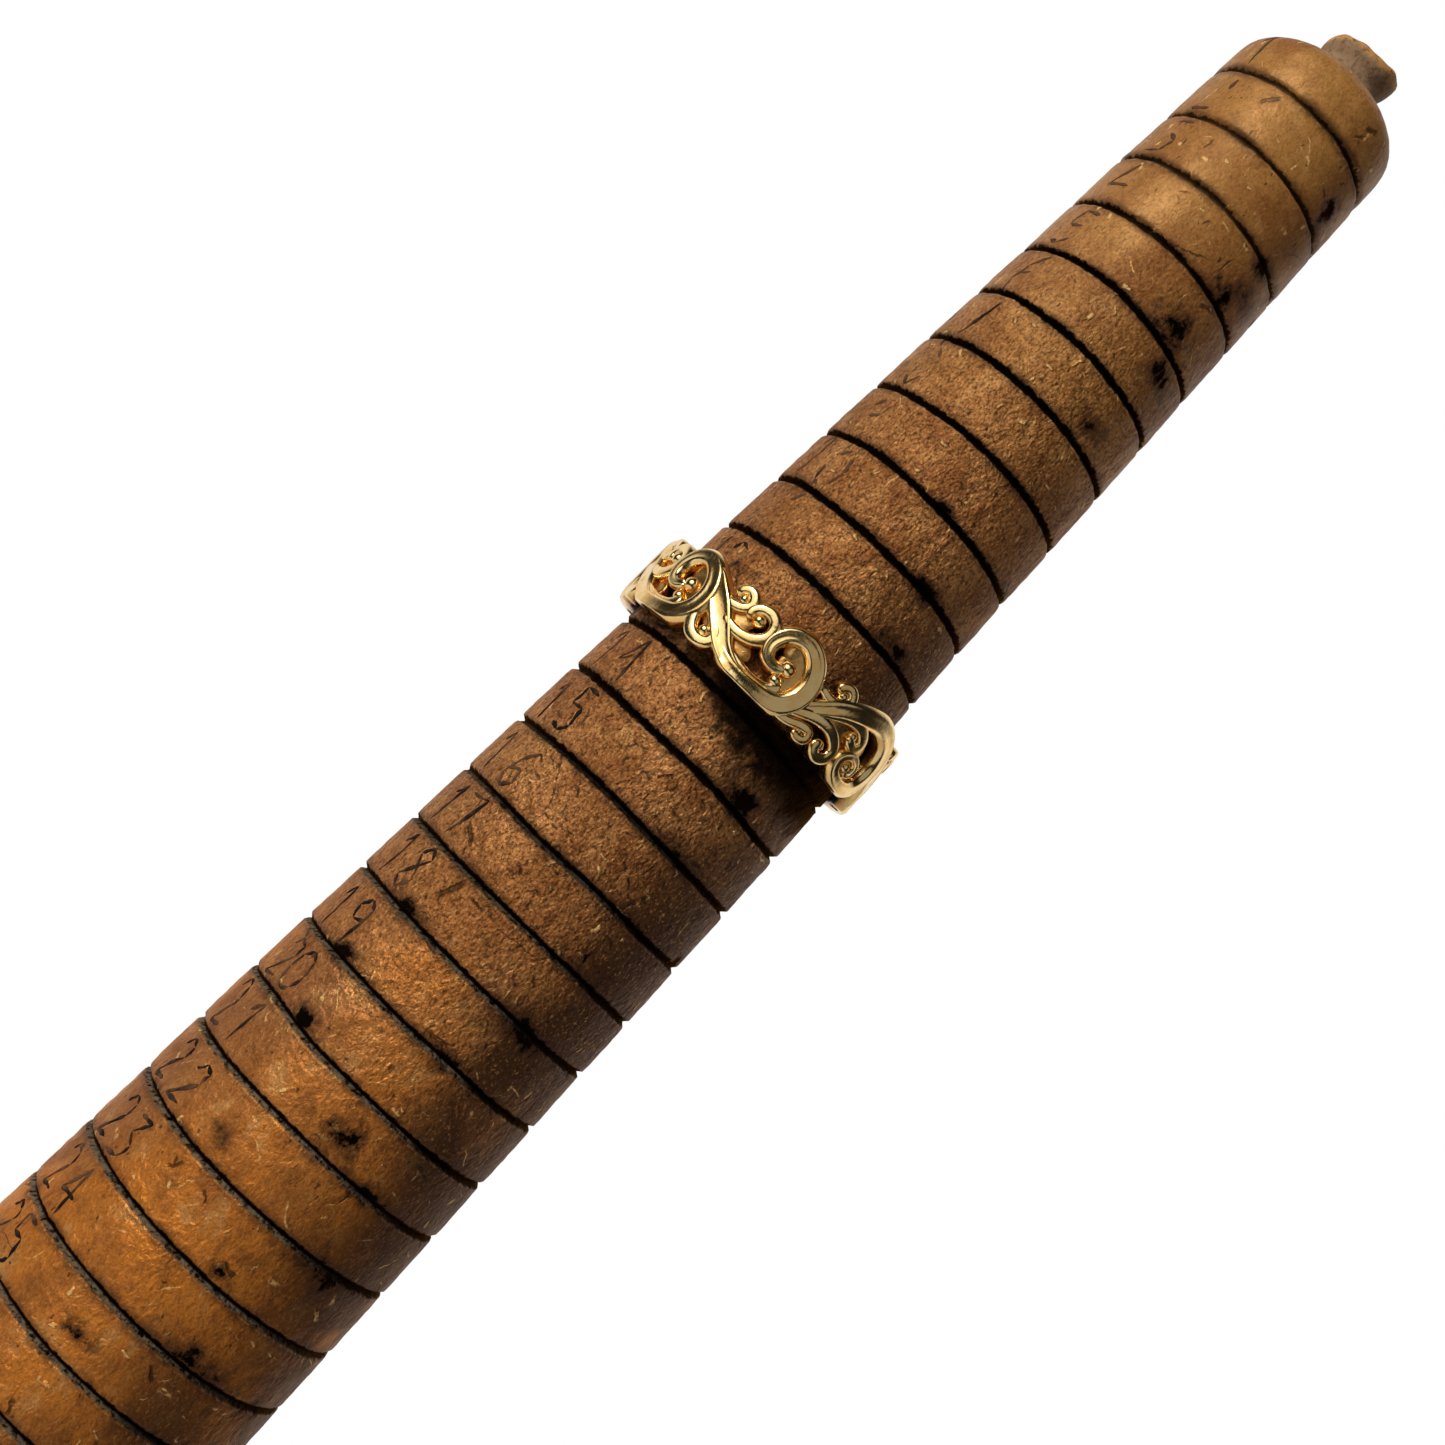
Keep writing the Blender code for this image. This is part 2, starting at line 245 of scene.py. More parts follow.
def cut_bar(start, end, draw):
    """Grid of (across, up, lift) points of one straight cut, in metres: a six-sided bar, widest a
    third of the way along and drawn out to a point at each end, with its sides a little uneven."""
    run = math.dist(start, end)
    share = np.linspace(0, 1, max(5, round(run / (0.14 * MM))))[:, None]
    half = 0.5 * CUT_WIDTH * draw.uniform(0.75, 1.25) * (share ** 0.35 * (1 - share) ** 0.5 * 1.6 + 0.12)
    half = half * (1 + 0.25 * np.sin(9 * share + draw.uniform(0, 6)))
    angle = np.arange(6)[None] / 6 * 2 * math.pi
    way = np.array([end[0] - start[0], end[1] - start[1]]) / run
    off = half * np.cos(angle)
    bend = 0.05 * MM * np.sin(math.pi * share) * draw.normal()
    across = start[0] + way[0] * run * share - way[1] * (off + bend)
    up = start[1] + way[1] * run * share + way[0] * (off + bend)
    lift = 0.036 * MM * np.sin(angle) * np.clip(half / (0.07 * MM), 0.2, 1)
    return across, up, np.broadcast_to(lift, across.shape)


def numeral_soot(shape, lines):
    """The soot that fills the numerals' cuts. Each number stands on its own size line, a little
    askew and off its place, as a hand cuts it."""
    draw = np.random.default_rng(41)
    grids = []
    for number, line in enumerate(lines, 1):
        digits = [int(letter) for letter in str(number)]
        whole = len(digits) * NUMERAL_WIDE + (len(digits) - 1) * NUMERAL_GAP
        radius = float(np.hypot(*laid_on(shape, np.array([NUMERAL_TURN]), np.array([line + 2 * MM]),
                                         np.zeros(1))[0, :2]))
        for place, digit in enumerate(digits):
            lean, slip, lift, grow = draw.normal(0, 1, 4)
            corner = place * (NUMERAL_WIDE + NUMERAL_GAP) - whole / 2 + 0.12 * MM * slip
            points = [(corner + NUMERAL_WIDE * x + 0.09 * lean * NUMERAL_TALL * y,
                       line + 0.55 * MM + NUMERAL_TALL * (1 + 0.04 * grow) * y + 0.08 * MM * lift)
                      for x, y in DIGIT_CUTS[digit]]
            for start, end in zip(points, points[1:]):
                across, up, lift = cut_bar(start, end, draw)
                if number < WORN_NUMBERS and draw.random() < 0.35:
                    continue
                grids.append(laid_on(shape, NUMERAL_TURN + across / radius, up, lift))
    return joined_bars("numeral_soot", grids)


# ------------------------------------------------------------------------- stains and gouges
# Where the worst black stains lie: the size line beside them, how far up from it (mm), how far round
# from the front (degrees), and their half width and half height (mm).
STAINS = [
    (3, -0.4, 42, 0.8, 0.6), (4, 0.8, 36, 1.0, 0.7), (4, 1.9, 50, 1.6, 0.7), (5, 0.4, 24, 0.9, 0.5),
    (5, 1.4, 28, 1.3, 1.0), (6, 2.6, 40, 1.4, 0.9), (7, 1.6, 30, 1.0, 0.6), (8, -0.2, 22, 1.1, 0.5),
    (9, 0.3, 8, 0.7, 0.3), (10, 0.2, 24, 1.2, 0.5), (11, 0.6, 38, 1.6, 0.5), (14, 0.9, 30, 1.4, 0.9),
    (15, 0.2, 26, 1.8, 0.6), (16, 0.3, 34, 1.7, 0.7), (17, 0.3, -26, 1.0, 0.5), (17, 0.9, 36, 2.4, 1.0),
    (18, 0.4, -34, 1.8, 0.6), (18, -0.1, 30, 2.6, 0.8), (19, 0.3, -40, 1.1, 0.6), (19, 0.2, 16, 1.6, 0.6),
    (20, 0.7, -30, 0.9, 0.5), (21, 1.7, 8, 1.0, 1.2), (21, 0.1, 30, 2.0, 0.5), (22, -0.3, 38, 2.6, 0.8),
    (22, 1.6, -20, 0.6, 0.6), (23, 0.9, 10, 0.7, 0.4), (24, 0.6, 26, 2.0, 0.8), (25, 1.8, -8, 0.8, 0.4),
    (26, 0.5, 30, 2.2, 0.7), (27, 1.3, 0, 0.8, 0.6), (12, 2.2, -38, 0.7, 0.4), (2, 1.5, 52, 0.7, 0.9),
]


def stain_depth(turn, heights, radii, lines):
    """How deep each grid point lies in a stain: 1 in its middle, 0 at its edge, less outside. Round
    the back the stains are strewn at random, about one to a band."""
    draw = np.random.default_rng(17)
    spots = [(line, up, math.radians(away), wide, tall) for line, up, away, wide, tall in STAINS]
    for line in range(1, len(lines) + 1):
        away = math.radians(draw.uniform(70, 290))
        spots.append((line, draw.uniform(-0.3, 2.4), away, draw.uniform(0.5, 2.0), draw.uniform(0.3, 0.9)))
    depth = np.full((len(heights), len(turn)), -3.0)
    for line, up, away, wide, tall in spots:
        across = unrolled(turn[None], CENTRE_FRONT + away, radii[:, None]) / (wide * MM)
        along = (heights[:, None] - lines[line - 1] - up * MM) / (tall * MM)
        depth = np.maximum(depth, 1 - np.hypot(across, along))
    return depth


# ------------------------------------------------------------------------- the ring stick
LINE_DEPTH = 0.30 * MM
LINE_HALF_WIDTH = 0.27 * MM
LIP_WEAR = 0.040 * MM          # how far the wood beside a line has worn down
LIP_WEAR_REACH = 0.35 * MM
NOSE_WEAR = 0.18 * MM           # how much lower the nose is worn than it was turned
BUTTON_EDGE = 0.55 * MM


def stick_columns():
    """Angles of the grid's columns: half as far apart round the front as at the back. They are evenly
    spaced on the running total of how close they should be."""
    fine = np.linspace(0, 2 * math.pi, 3601) + CENTRE_FRONT + math.pi
    from_front = np.abs((fine - CENTRE_FRONT + math.pi) % (2 * math.pi) - math.pi)
    closeness = np.interp(from_front, np.radians([85, 105]), [2.0, 1.0])
    total = np.concatenate([[0], np.cumsum(0.5 * (closeness[1:] + closeness[:-1]))])
    return np.interp(np.arange(116) / 116 * total[-1], total, fine)


def stick_rows(lines, low, high):
    """Heights of the grid's rows: close together across each size line, even between the lines, and
    wider on the grip."""
    across = np.array([0, 0.08, 0.16, 0.24, 0.33, 0.46]) * MM
    across = np.concatenate([-across[:0:-1], across])
    rows = [line + across for line in lines]
    for upper, lower in zip(lines, lines[1:]):
        steps = round((upper - lower - 2 * across[-1]) / (0.25 * MM))
        rows.append(np.linspace(lower + across[-1], upper - across[-1], steps + 1)[1:-1])
    rows.append(np.linspace(lines[0] + across[-1], high, 22)[1:])
    rows.append(np.linspace(low, lines[-1] - across[-1], 82)[:-1])
    return np.unique(np.round(np.concatenate(rows), 8))


def button_rows(foot, top, foot_radius, rim_radius):
    """(height, radius) rows of the lathe button: a hollow fillet out of the nose, a neck, a rim that
    flares a little, its rounded edge, and the end face in to the middle."""
    up = np.linspace(0, 1, 20)
    fillet = (foot_radius - rim_radius) * np.exp(-up / 0.16)
    pinch = 0.22 * MM * np.sin(math.pi * np.clip(up / 0.85, 0, 1)) ** 2
    side = np.stack([foot + up * (top - BUTTON_EDGE - foot), rim_radius + fillet - pinch], 1)
    bend = np.radians([18, 36, 54, 72, 90])
    edge = np.stack([top - BUTTON_EDGE * (1 - np.sin(bend)),
                     rim_radius - BUTTON_EDGE * (1 - np.cos(bend))], 1)
    inward = np.linspace(1, 0, 9)[1:-1]
    face = np.stack([np.full(7, top), (rim_radius - BUTTON_EDGE) * inward], 1)
    return np.concatenate([side, edge, face])


def line_wander(around, rows, lines):
    """How far the lines run up and down round the stick: each has its own tilt and waves. Rows
    between two lines share the wander of both, and it dies out at the nose and the grip."""
    draw = np.random.default_rng(7)
    tilt = draw.normal(0, 0.05 * MM, (len(lines), 1))
    facing = draw.random((len(lines), 1)) * 2 * math.pi
    wander = tilt * np.cos(around - facing)
    for wave in range(2, 9):
        size = draw.normal(0, 0.08 * MM / wave, (len(lines), 1))
        wander += size * np.sin(wave * around + draw.random((len(lines), 1)) * 2 * math.pi)
    place = np.interp(rows, lines[::-1], np.arange(len(lines))[::-1])
    before = np.floor(place).astype(int)
    after = np.minimum(before + 1, len(lines) - 1)
    share = (place - before)[:, None]
    shift = wander[before] * (1 - share) + wander[after] * share
    fade = np.interp(rows, [lines[-1] - 4 * MM, lines[-1], lines[0], lines[0] + 2.4 * MM], [0, 1, 1, 0])
    return shift * fade[:, None]


def broken_button(around, heights, radius, foot, top):
    """The button's end broke off and wore round: it is left highest at its right edge and falls off
    quickly from there, with a dip and lumps, and its rim stands out more on that side."""
    share = np.clip((heights - foot) / (top - foot), 0, 1)[:, None]
    rim = 0.05 + 0.04 * np.cos(around - 0.15) + 0.03 * np.cos(3 * around + 0.9) + 0.02 * np.sin(5 * around)
    radius = radius * (1 + share ** 2 * rim)
    out = np.clip(radius / (2.2 * MM), 0, 1)
    slope = 0.70 * (1 - np.exp(-(1 - np.cos(around)) / 0.45))
    lumps = 0.04 * (1 + np.sin(7 * around + 4 * out) * out) + 0.03 * (1 + np.sin(11 * around) * out)
    dish = 0.3 * (1 - out) ** 1.5
    lowered = (slope * out + 0.6 * (1 - out) + lumps + dish) * MM
    return radius, -share ** 1.5 * lowered


def ring_stick():
    """The stick's mesh, the columns, rows and points of its grid, and the size lines' heights. The
    stick is a surface of revolution: its radius is the uncut outline, less a V at each size line, the
    wear of the wood beside it and slow hand-turned waves."""
    heights, radii = turned_outline("ring_stick")
    lines, plain_heights, plain_radii = line_roots(heights, radii)
    top = plain_heights[-1]
    nose = (plain_heights > lines[0]) & (plain_radii < 3.3 * MM)
    foot = plain_heights[nose][0]
    foot_radius = plain_radii[nose][0]
    turn = stick_columns()
    rows = stick_rows(lines, plain_heights[0], foot)
    outline = smooth_through(rows, plain_heights, plain_radii)
    button = button_rows(foot, top, foot_radius, plain_radii[nose][1:].max())
    rows = np.concatenate([rows, button[1:, 0]])
    outline = np.concatenate([outline, button[1:, 1]])
    nearest = np.abs(rows[:, None] - lines[None]).argmin(1)
    gap = rows - lines[nearest]
    around = turn[None]
    up = rows[:, None]

    uneven = hand_waves(around, up, 3, 14, 6 * MM, 1.2 * MM)
    width = LINE_HALF_WIDTH * (1 + 0.18 * uneven)
    depth = LINE_DEPTH * (1 + 0.20 * hand_waves(around, up, 5, 10, 9 * MM, 2 * MM))
    away = np.abs(gap)[:, None]
    notch = depth * np.clip(1 - away / width, 0, 1) ** 0.85
    worn = LIP_WEAR * np.exp(-(away / LIP_WEAR_REACH) ** 2)
    worn = worn * (1 + 0.5 * hand_waves(around, up, 9, 10, 12 * MM, 2 * MM))
    slow = 0.020 * MM * (hand_waves(around, up, 11, 12, 30 * MM, 4 * MM) - 0.6)
    dents = 0.012 * MM * hand_waves(around, up, 13, 40, 2.4 * MM, 0.8 * MM)
    stain = stain_depth(turn, rows, outline, lines)
    sunk = 0.03 * MM * np.clip(stain, 0, 1)

    on_stick = (rows < foot)[:, None]
    hand = slow + dents - worn - notch - sunk
    radius = outline[:, None] + np.where(on_stick, hand, 0.25 * dents)
    radius, drop = broken_button(around, rows, radius, foot, top)
    settled = np.interp(rows, [lines[0] + 0.4 * MM, lines[0] + 1.8 * MM, foot, top], [0, 1, 1, 0])
    height = up + line_wander(around, rows, lines) + drop - NOSE_WEAR * settled[:, None]
    height = np.where(rows[:, None] <= rows[0], up, height)
    points = np.stack([radius * np.cos(around), radius * np.sin(around), height], -1)
    low = (0.0, 0.0, rows[0])
    high = (0.0, 0.0, float(height[-1].mean()))
    marks = {
        "line_gap": np.broadcast_to(np.abs(gap)[:, None] / MM, radius.shape),
        "line_side": np.broadcast_to(np.clip(gap / (0.3 * MM), -1, 1)[:, None], radius.shape),
        "stain": stain,
        "end": np.broadcast_to(np.clip((rows - foot) / (top - foot), 0, 1)[:, None], radius.shape),
    }
    arc = (np.append(turn, turn[0] + 2 * math.pi) - turn[0]) * 9 * MM
    stick = closed_grid("ring_stick_wood", points, low, high, marks, arc, rows)
    return stick, (turn, rows, points), lines


# ------------------------------------------------------------------------- the scroll ring
# The ring's drawing, as strokes on the unrolled band, in mm. Each volute has its own origin; the
# first number is the distance round the ring, the second the height above the band's middle.
# A stroke is (points, widths along it, crest height above the bore, ribs along its top).
SPIRAL = [(-4.6, -1.35), (-3.8, -1.8), (-2.3, -2.35), (-0.6, -2.42), (0.9, -2.1), (1.75, -1.1), (1.85, 0.2),
          (1.2, 1.35), (0.1, 1.9), (-1.0, 1.5), (-1.5, 0.5), (-1.2, -0.35), (-0.45, -0.55), (0.15, -0.2)]
STEM = [(0.1, 1.85), (1.2, 1.45), (2.1, 0.75), (2.9, 0.1), (3.9, -0.8), (5.0, -1.75), (6.2, -2.25),
        (7.6, -2.42)]
FIRST_CURL = [(2.0, 0.95), (2.7, 0.62), (3.4, 0.55), (4.1, 0.72), (4.5, 1.2), (4.25, 1.72), (3.75, 1.85),
              (3.35, 1.55), (3.45, 1.15)]
SECOND_CURL = [(3.0, 0.2), (3.9, -0.3), (4.8, -0.52), (5.8, -0.35), (6.5, 0.3), (6.45, 1.15), (5.85, 1.6),
               (5.1, 1.45), (4.75, 0.95), (5.0, 0.5)]
THIRD_CURL = [(1.85, 0.3), (1.95, -0.7), (2.2, -1.6), (2.7, -2.2), (3.4, -2.4), (4.05, -2.15),
              (4.15, -1.55), (3.75, -1.2), (3.3, -1.35)]
LEAF = [(3.6, -0.75), (4.6, -1.3), (5.9, -1.75), (7.3, -2.0), (8.3, -1.85), (8.85, -1.35), (8.7, -0.95)]

VOLUTE = [
    (SPIRAL, (0.5, 0.9, 1.05, 1.05, 0.9, 0.8, 0.5), 1.27, 1),
    (STEM, (0.5, 1.0, 1.25, 1.1, 0.8, 0.5), 1.24, 2),
    (FIRST_CURL, (0.35, 0.5, 0.5, 0.45), 1.10, 0),
    (SECOND_CURL, (0.35, 0.55, 0.62, 0.55, 0.42), 1.16, 0),
    (THIRD_CURL, (0.45, 0.6, 0.62, 0.5), 1.14, 0),
    (LEAF, (0.25, 0.45, 0.5, 0.6, 0.5), 1.05, 0),
]
VOLUTE_BEADS = [(0.25, -0.05, 0.52, 1.22), (3.85, 1.22, 0.36, 1.08), (5.45, 0.85, 0.46, 1.14),
                (3.35, -1.7, 0.42, 1.10), (8.55, -1.05, 0.42, 1.12)]
VOLUTE_PLATES = [([(-0.9, 0.9), (0.4, 1.0), (0.7, -0.6), (0.2, -1.5)], (1.2, 1.9, 1.9, 1.1), 0.74, 0),
                 ([(2.5, 0.35), (3.6, 0.2), (5.4, 0.5)], (0.6, 1.1, 1.3), 0.66, 0),
                 ([(3.9, -0.75), (5.4, -1.0), (6.6, -1.3)], (0.5, 1.0, 0.7), 0.60, 0),
                 ([(2.3, -0.3), (3.0, -0.9), (3.1, -1.6)], (0.5, 0.9, 0.8), 0.62, 0)]

FAN_OUTER = [(-6.6, -1.6), (-5.2, -0.2), (-3.9, 0.85), (-2.2, 1.6), (-0.6, 1.95), (1.0, 1.5), (1.95, 0.4),
             (2.1, -0.8), (1.5, -1.9), (0.1, -2.4), (-1.3, -2.15), (-1.75, -1.3), (-1.1, -0.65),
             (-0.25, -0.85), (-0.15, -1.5), (-0.75, -1.7)]
FAN_SECOND = [(-5.6, -0.9), (-4.3, 0.1), (-3.0, 0.75), (-1.9, 0.8), (-1.15, 0.3), (-1.3, -0.3),
              (-2.0, -0.2), (-2.2, 0.15)]
FAN_THIRD = [(-7.4, -2.1), (-6.2, -1.4), (-4.8, -0.75), (-3.5, -0.7), (-2.5, -1.3), (-2.55, -2.05),
             (-3.3, -2.35), (-3.75, -1.9), (-3.4, -1.5)]
FAN_FOURTH = [(-7.8, -2.35), (-6.4, -2.2), (-5.3, -1.75), (-4.6, -1.7), (-4.5, -2.2), (-5.1, -2.42),
              (-5.4, -2.1)]
FAN = [
    (FAN_OUTER, (0.5, 0.95, 1.05, 1.0, 0.95, 0.85, 0.6, 0.45), 1.27, 1),
    (FAN_SECOND, (0.4, 0.6, 0.6, 0.5), 1.15, 0),
    (FAN_THIRD, (0.4, 0.6, 0.6, 0.5), 1.12, 0),
    (FAN_FOURTH, (0.35, 0.5, 0.42), 1.02, 0),
    (STEM, (0.5, 1.0, 1.25, 1.1, 0.8, 0.5), 1.24, 2),
    (FIRST_CURL, (0.35, 0.5, 0.5, 0.45), 1.10, 0),
    (SECOND_CURL, (0.35, 0.55, 0.62, 0.55, 0.42), 1.16, 0),
    (LEAF, (0.25, 0.45, 0.5, 0.6, 0.5), 1.05, 0),
]
FAN_BEADS = [(-0.6, -1.35, 0.42, 1.18), (-2.0, 0.1, 0.38, 1.08), (-3.45, -1.75, 0.40, 1.08),
             (-5.1, -2.1, 0.32, 0.98), (3.85, 1.22, 0.36, 1.08), (5.45, 0.85, 0.46, 1.14)]
FAN_PLATES = [([(-4.4, -0.5), (-3.0, -0.1), (-1.6, -0.6), (0.2, 0.2)], (0.8, 1.5, 1.9, 1.6), 0.70, 0),
              ([(2.5, 0.35), (3.6, 0.2), (5.4, 0.5)], (0.6, 1.1, 1.3), 0.66, 0)]

BROADEN = 1.43                 # how much broader the finished strokes are than the drawn ones

# The volutes follow each other to the right round the ring: two plain ones for each fan.
FIRST_VOLUTE = math.radians(-137)
VOLUTE_ORDER = ["plain", "plain", "fan", "plain", "plain", "fan", "plain"]


def smooth_path(points, spacing):
    """Evenly spaced places on a Catmull-Rom curve through the points."""
    points = np.array(points, float)
    ends = np.concatenate([[2 * points[0] - points[1]], points, [2 * points[-1] - points[-2]]])
    share = np.linspace(0, 1, 20, endpoint=False)[:, None]
    parts = []
    for before, start, end, after in zip(ends, ends[1:], ends[2:], ends[3:]):
        cubic = (2 * start + (end - before) * share
                 + (2 * before - 5 * start + 4 * end - after) * share ** 2
                 + (3 * start - before - 3 * end + after) * share ** 3)
        parts.append(0.5 * cubic)
    curve = np.concatenate(parts + [points[-1:]])
    run = np.concatenate([[0], np.cumsum(np.hypot(*np.diff(curve, axis=0).T))])
    even = np.linspace(0, run[-1], max(6, round(run[-1] / spacing)))
    return np.stack([np.interp(even, run, curve[:, 0]), np.interp(even, run, curve[:, 1])], 1), even


def stroke_grid(points, widths, crest, ribs, sides=18):
    """Grid of (along, up, lift) points of one raised stroke: a rounded bar swept along its path, in
    mm. Both ends are drawn in to round tips, its start lies lower so that it grows out of the stroke
    before it, and ribs run along the top where asked."""
    path, run = smooth_path(points, 0.13)
    share = run / run[-1]
    half = 0.5 * BROADEN * np.interp(share, np.linspace(0, 1, len(widths)), widths)
    from_end = np.minimum(run, run[-1] - run)
    tip = np.sqrt(np.clip(1 - (1 - np.clip(from_end / (1.3 * half), 0, 1)) ** 2, 0.02, 1))
    half = half * tip
    slope = np.gradient(path, axis=0)
    slope /= np.hypot(*slope.T)[:, None]
    side = np.stack([-slope[:, 1], slope[:, 0]], 1)
    if ribs:
        sides = 30
    angle = np.linspace(0, 2 * math.pi, sides, endpoint=False)[None]
    across = np.sign(np.cos(angle)) * np.abs(np.cos(angle)) ** 0.6
    lift = np.sign(np.sin(angle)) * np.abs(np.sin(angle)) ** 0.5
    foot = 0.03
    crest = crest * np.interp(share, [0, 0.14], [0.74, 1.0])[:, None]
    reach = 0.5 * (foot + crest + (crest - foot) * (lift * (0.55 + 0.45 * tip)[:, None]))
    if ribs:
        grooves = 0.5 - 0.5 * np.cos(2 * math.pi * (ribs + 1) * (across + 1) / 2)
        reach = reach - 0.15 * (1 - grooves) * np.clip(lift, 0, 1) * np.clip(half / 0.4, 0, 1)[:, None]
    spot = path[:, None] + side[:, None] * (half[:, None] * across)[..., None]
    return np.concatenate([spot, np.clip(reach, foot, None)[..., None]], -1)


def bead_grid(along, up, radius, crest):
    """Grid of (along, up, lift) points of a bead: a ball on a short foot, in mm."""
    climb = np.radians(np.linspace(-80, 86, 12))[:, None]
    angle = np.linspace(0, 2 * math.pi, 18, endpoint=False)[None]
    reach = radius * np.cos(climb)
    middle = crest - radius
    lift = np.where(climb < 0, middle * (1 + np.sin(climb)), middle + radius * np.sin(climb))
    return np.stack(np.broadcast_arrays(along - reach * np.cos(angle), up + reach * np.sin(angle),
                                        np.maximum(lift, 0.03)), -1)


def scroll_ring():
    """All strokes, beads and plates wrapped round the bore and joined as one mesh. Distance round the
    ring becomes an angle at the middle of the wall, and lift becomes distance from the axis."""
    low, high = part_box("scroll_ring")
    middle = 0.5 * (low.z + high.z)
    outer = 0.5 * (high.x - low.x)
    wall = outer - RING_BORE
    spacing = 2 * math.pi / len(VOLUTE_ORDER)
    bars = []
    for number, kind in enumerate(VOLUTE_ORDER):
        origin = FIRST_VOLUTE + number * spacing
        strokes, beads, plates = (VOLUTE, VOLUTE_BEADS, VOLUTE_PLATES) if kind == "plain" else (
            FAN, FAN_BEADS, FAN_PLATES)
        next_kind = VOLUTE_ORDER[(number + 1) % len(VOLUTE_ORDER)]
        if next_kind == "fan":
            # the fan's own strokes take the place of these
            given_up = (LEAF, THIRD_CURL, SECOND_CURL, STEM)
            strokes = [stroke for stroke in strokes if not any(stroke[0] is path for path in given_up)]
            beads = [bead for bead in beads if bead[0] < 8 and bead[:2] not in ((3.35, -1.7), (5.45, 0.85))]
            plates = plates[:1]
        grids = [stroke_grid(*stroke) for stroke in strokes + plates]
        grids += [bead_grid(*bead) for bead in beads]
        for grid in grids:
            turn = origin + grid[..., 0] * MM / (RING_BORE + 0.6 * wall)
            radius = RING_BORE + np.minimum(grid[..., 2] * MM, wall - 0.02 * MM)
            rise = middle + np.clip(grid[..., 1], -2.77, 2.77) * MM
            bars.append(np.stack([radius * np.cos(turn), radius * np.sin(turn), rise], -1))
    return joined_bars("scroll_ring_gold", bars)


def ring_bore():
    """Bore radius of the CAD ring: the least distance of its corners from the axis."""
    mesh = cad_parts["scroll_ring"].data
    corners = np.zeros(len(mesh.vertices) * 3, np.float32)
    mesh.vertices.foreach_get("co", corners)
    corners = corners.reshape(-1, 3)
    return float(np.hypot(corners[:, 0], corners[:, 1]).min())


RING_BORE = ring_bore()
RING_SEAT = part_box("scroll_ring")[0].z


# ------------------------------------------------------------------------- node tools
def group(name, inputs, outputs):
    """A new shader node group with its input and output nodes. Sockets are (name, kind, default)."""
    tree = bpy.data.node_groups.new(name, "ShaderNodeTree")
    kinds = {"number": "NodeSocketFloat", "colour": "NodeSocketColor", "vector": "NodeSocketVector"}
    for label, kind, default in inputs:
        socket = tree.interface.new_socket(label, in_out="INPUT", socket_type=kinds[kind])
        if default is not None:
            socket.default_value = default
    for label, kind in outputs:
        tree.interface.new_socket(label, in_out="OUTPUT", socket_type=kinds[kind])
    return tree, tree.nodes.new("NodeGroupInput"), tree.nodes.new("NodeGroupOutput")


def feed(tree, socket, value):
    """Link an output to a socket, or set the socket's own value."""
    if isinstance(value, bpy.types.NodeSocket):
        tree.links.new(value, socket)
    elif value is not None:
        socket.default_value = value


def math_node(tree, operation, first, second=None, clamp=False):
    node = tree.nodes.new("ShaderNodeMath")
    node.operation = operation
    node.use_clamp = clamp
    feed(tree, node.inputs[0], first)
    feed(tree, node.inputs[1], second)
    return node.outputs[0]


def times(tree, first, second, clamp=False):
    return math_node(tree, "MULTIPLY", first, second, clamp)


def plus(tree, first, second, clamp=False):
    return math_node(tree, "ADD", first, second, clamp)


def minus(tree, first, second, clamp=False):
    return math_node(tree, "SUBTRACT", first, second, clamp)


def ramp(tree, value, low, high, to_low=0.0, to_high=1.0):
    """A smooth step of a value from low to high."""
    node = tree.nodes.new("ShaderNodeMapRange")
    node.interpolation_type = "SMOOTHSTEP"
    feed(tree, node.inputs["Value"], value)
    feed(tree, node.inputs["From Min"], low)
    feed(tree, node.inputs["From Max"], high)
    feed(tree, node.inputs["To Min"], to_low)
    feed(tree, node.inputs["To Max"], to_high)
    return node.outputs["Result"]


def noise(tree, vector, scale, detail=3.0, roughness=0.55, distortion=0.0):
    node = tree.nodes.new("ShaderNodeTexNoise")
    feed(tree, node.inputs["Vector"], vector)
    feed(tree, node.inputs["Scale"], scale)
    feed(tree, node.inputs["Detail"], detail)
    feed(tree, node.inputs["Roughness"], roughness)
    feed(tree, node.inputs["Distortion"], distortion)
    return node.outputs["Fac"]


def mapped(tree, vector, scale=(1, 1, 1), rotation=(0, 0, 0), location=(0, 0, 0)):
    node = tree.nodes.new("ShaderNodeMapping")
    feed(tree, node.inputs["Vector"], vector)
    node.inputs["Location"].default_value = location
    node.inputs["Rotation"].default_value = rotation
    node.inputs["Scale"].default_value = scale
    return node.outputs[0]


def blend(tree, share, first, second, kind="MIX"):
    """Mix two colours by a share; kind is Blender's mix mode."""
    node = tree.nodes.new("ShaderNodeMix")
    node.data_type = "RGBA"
    node.blend_type = kind
    feed(tree, node.inputs["Factor"], share)
    feed(tree, node.inputs[6], first)
    feed(tree, node.inputs[7], second)
    return node.outputs[2]


def place(tree, made, **values):
    """Place a node group in a material, with its inputs set."""
    node = tree.nodes.new("ShaderNodeGroup")
    node.node_tree = made
    for label, value in values.items():
        feed(tree, node.inputs[label.replace("_", " ").capitalize()], value)
    return node.outputs


def attribute(tree, name):
    node = tree.nodes.new("ShaderNodeAttribute")
    node.attribute_name = name
    return node.outputs["Fac"]


def bump(tree, height, distance, strength=1.0, normal=None):
    node = tree.nodes.new("ShaderNodeBump")
    node.inputs["Distance"].default_value = distance
    node.inputs["Strength"].default_value = strength
    feed(tree, node.inputs["Height"], height)
    feed(tree, node.inputs["Normal"], normal)
    return node.outputs[0]


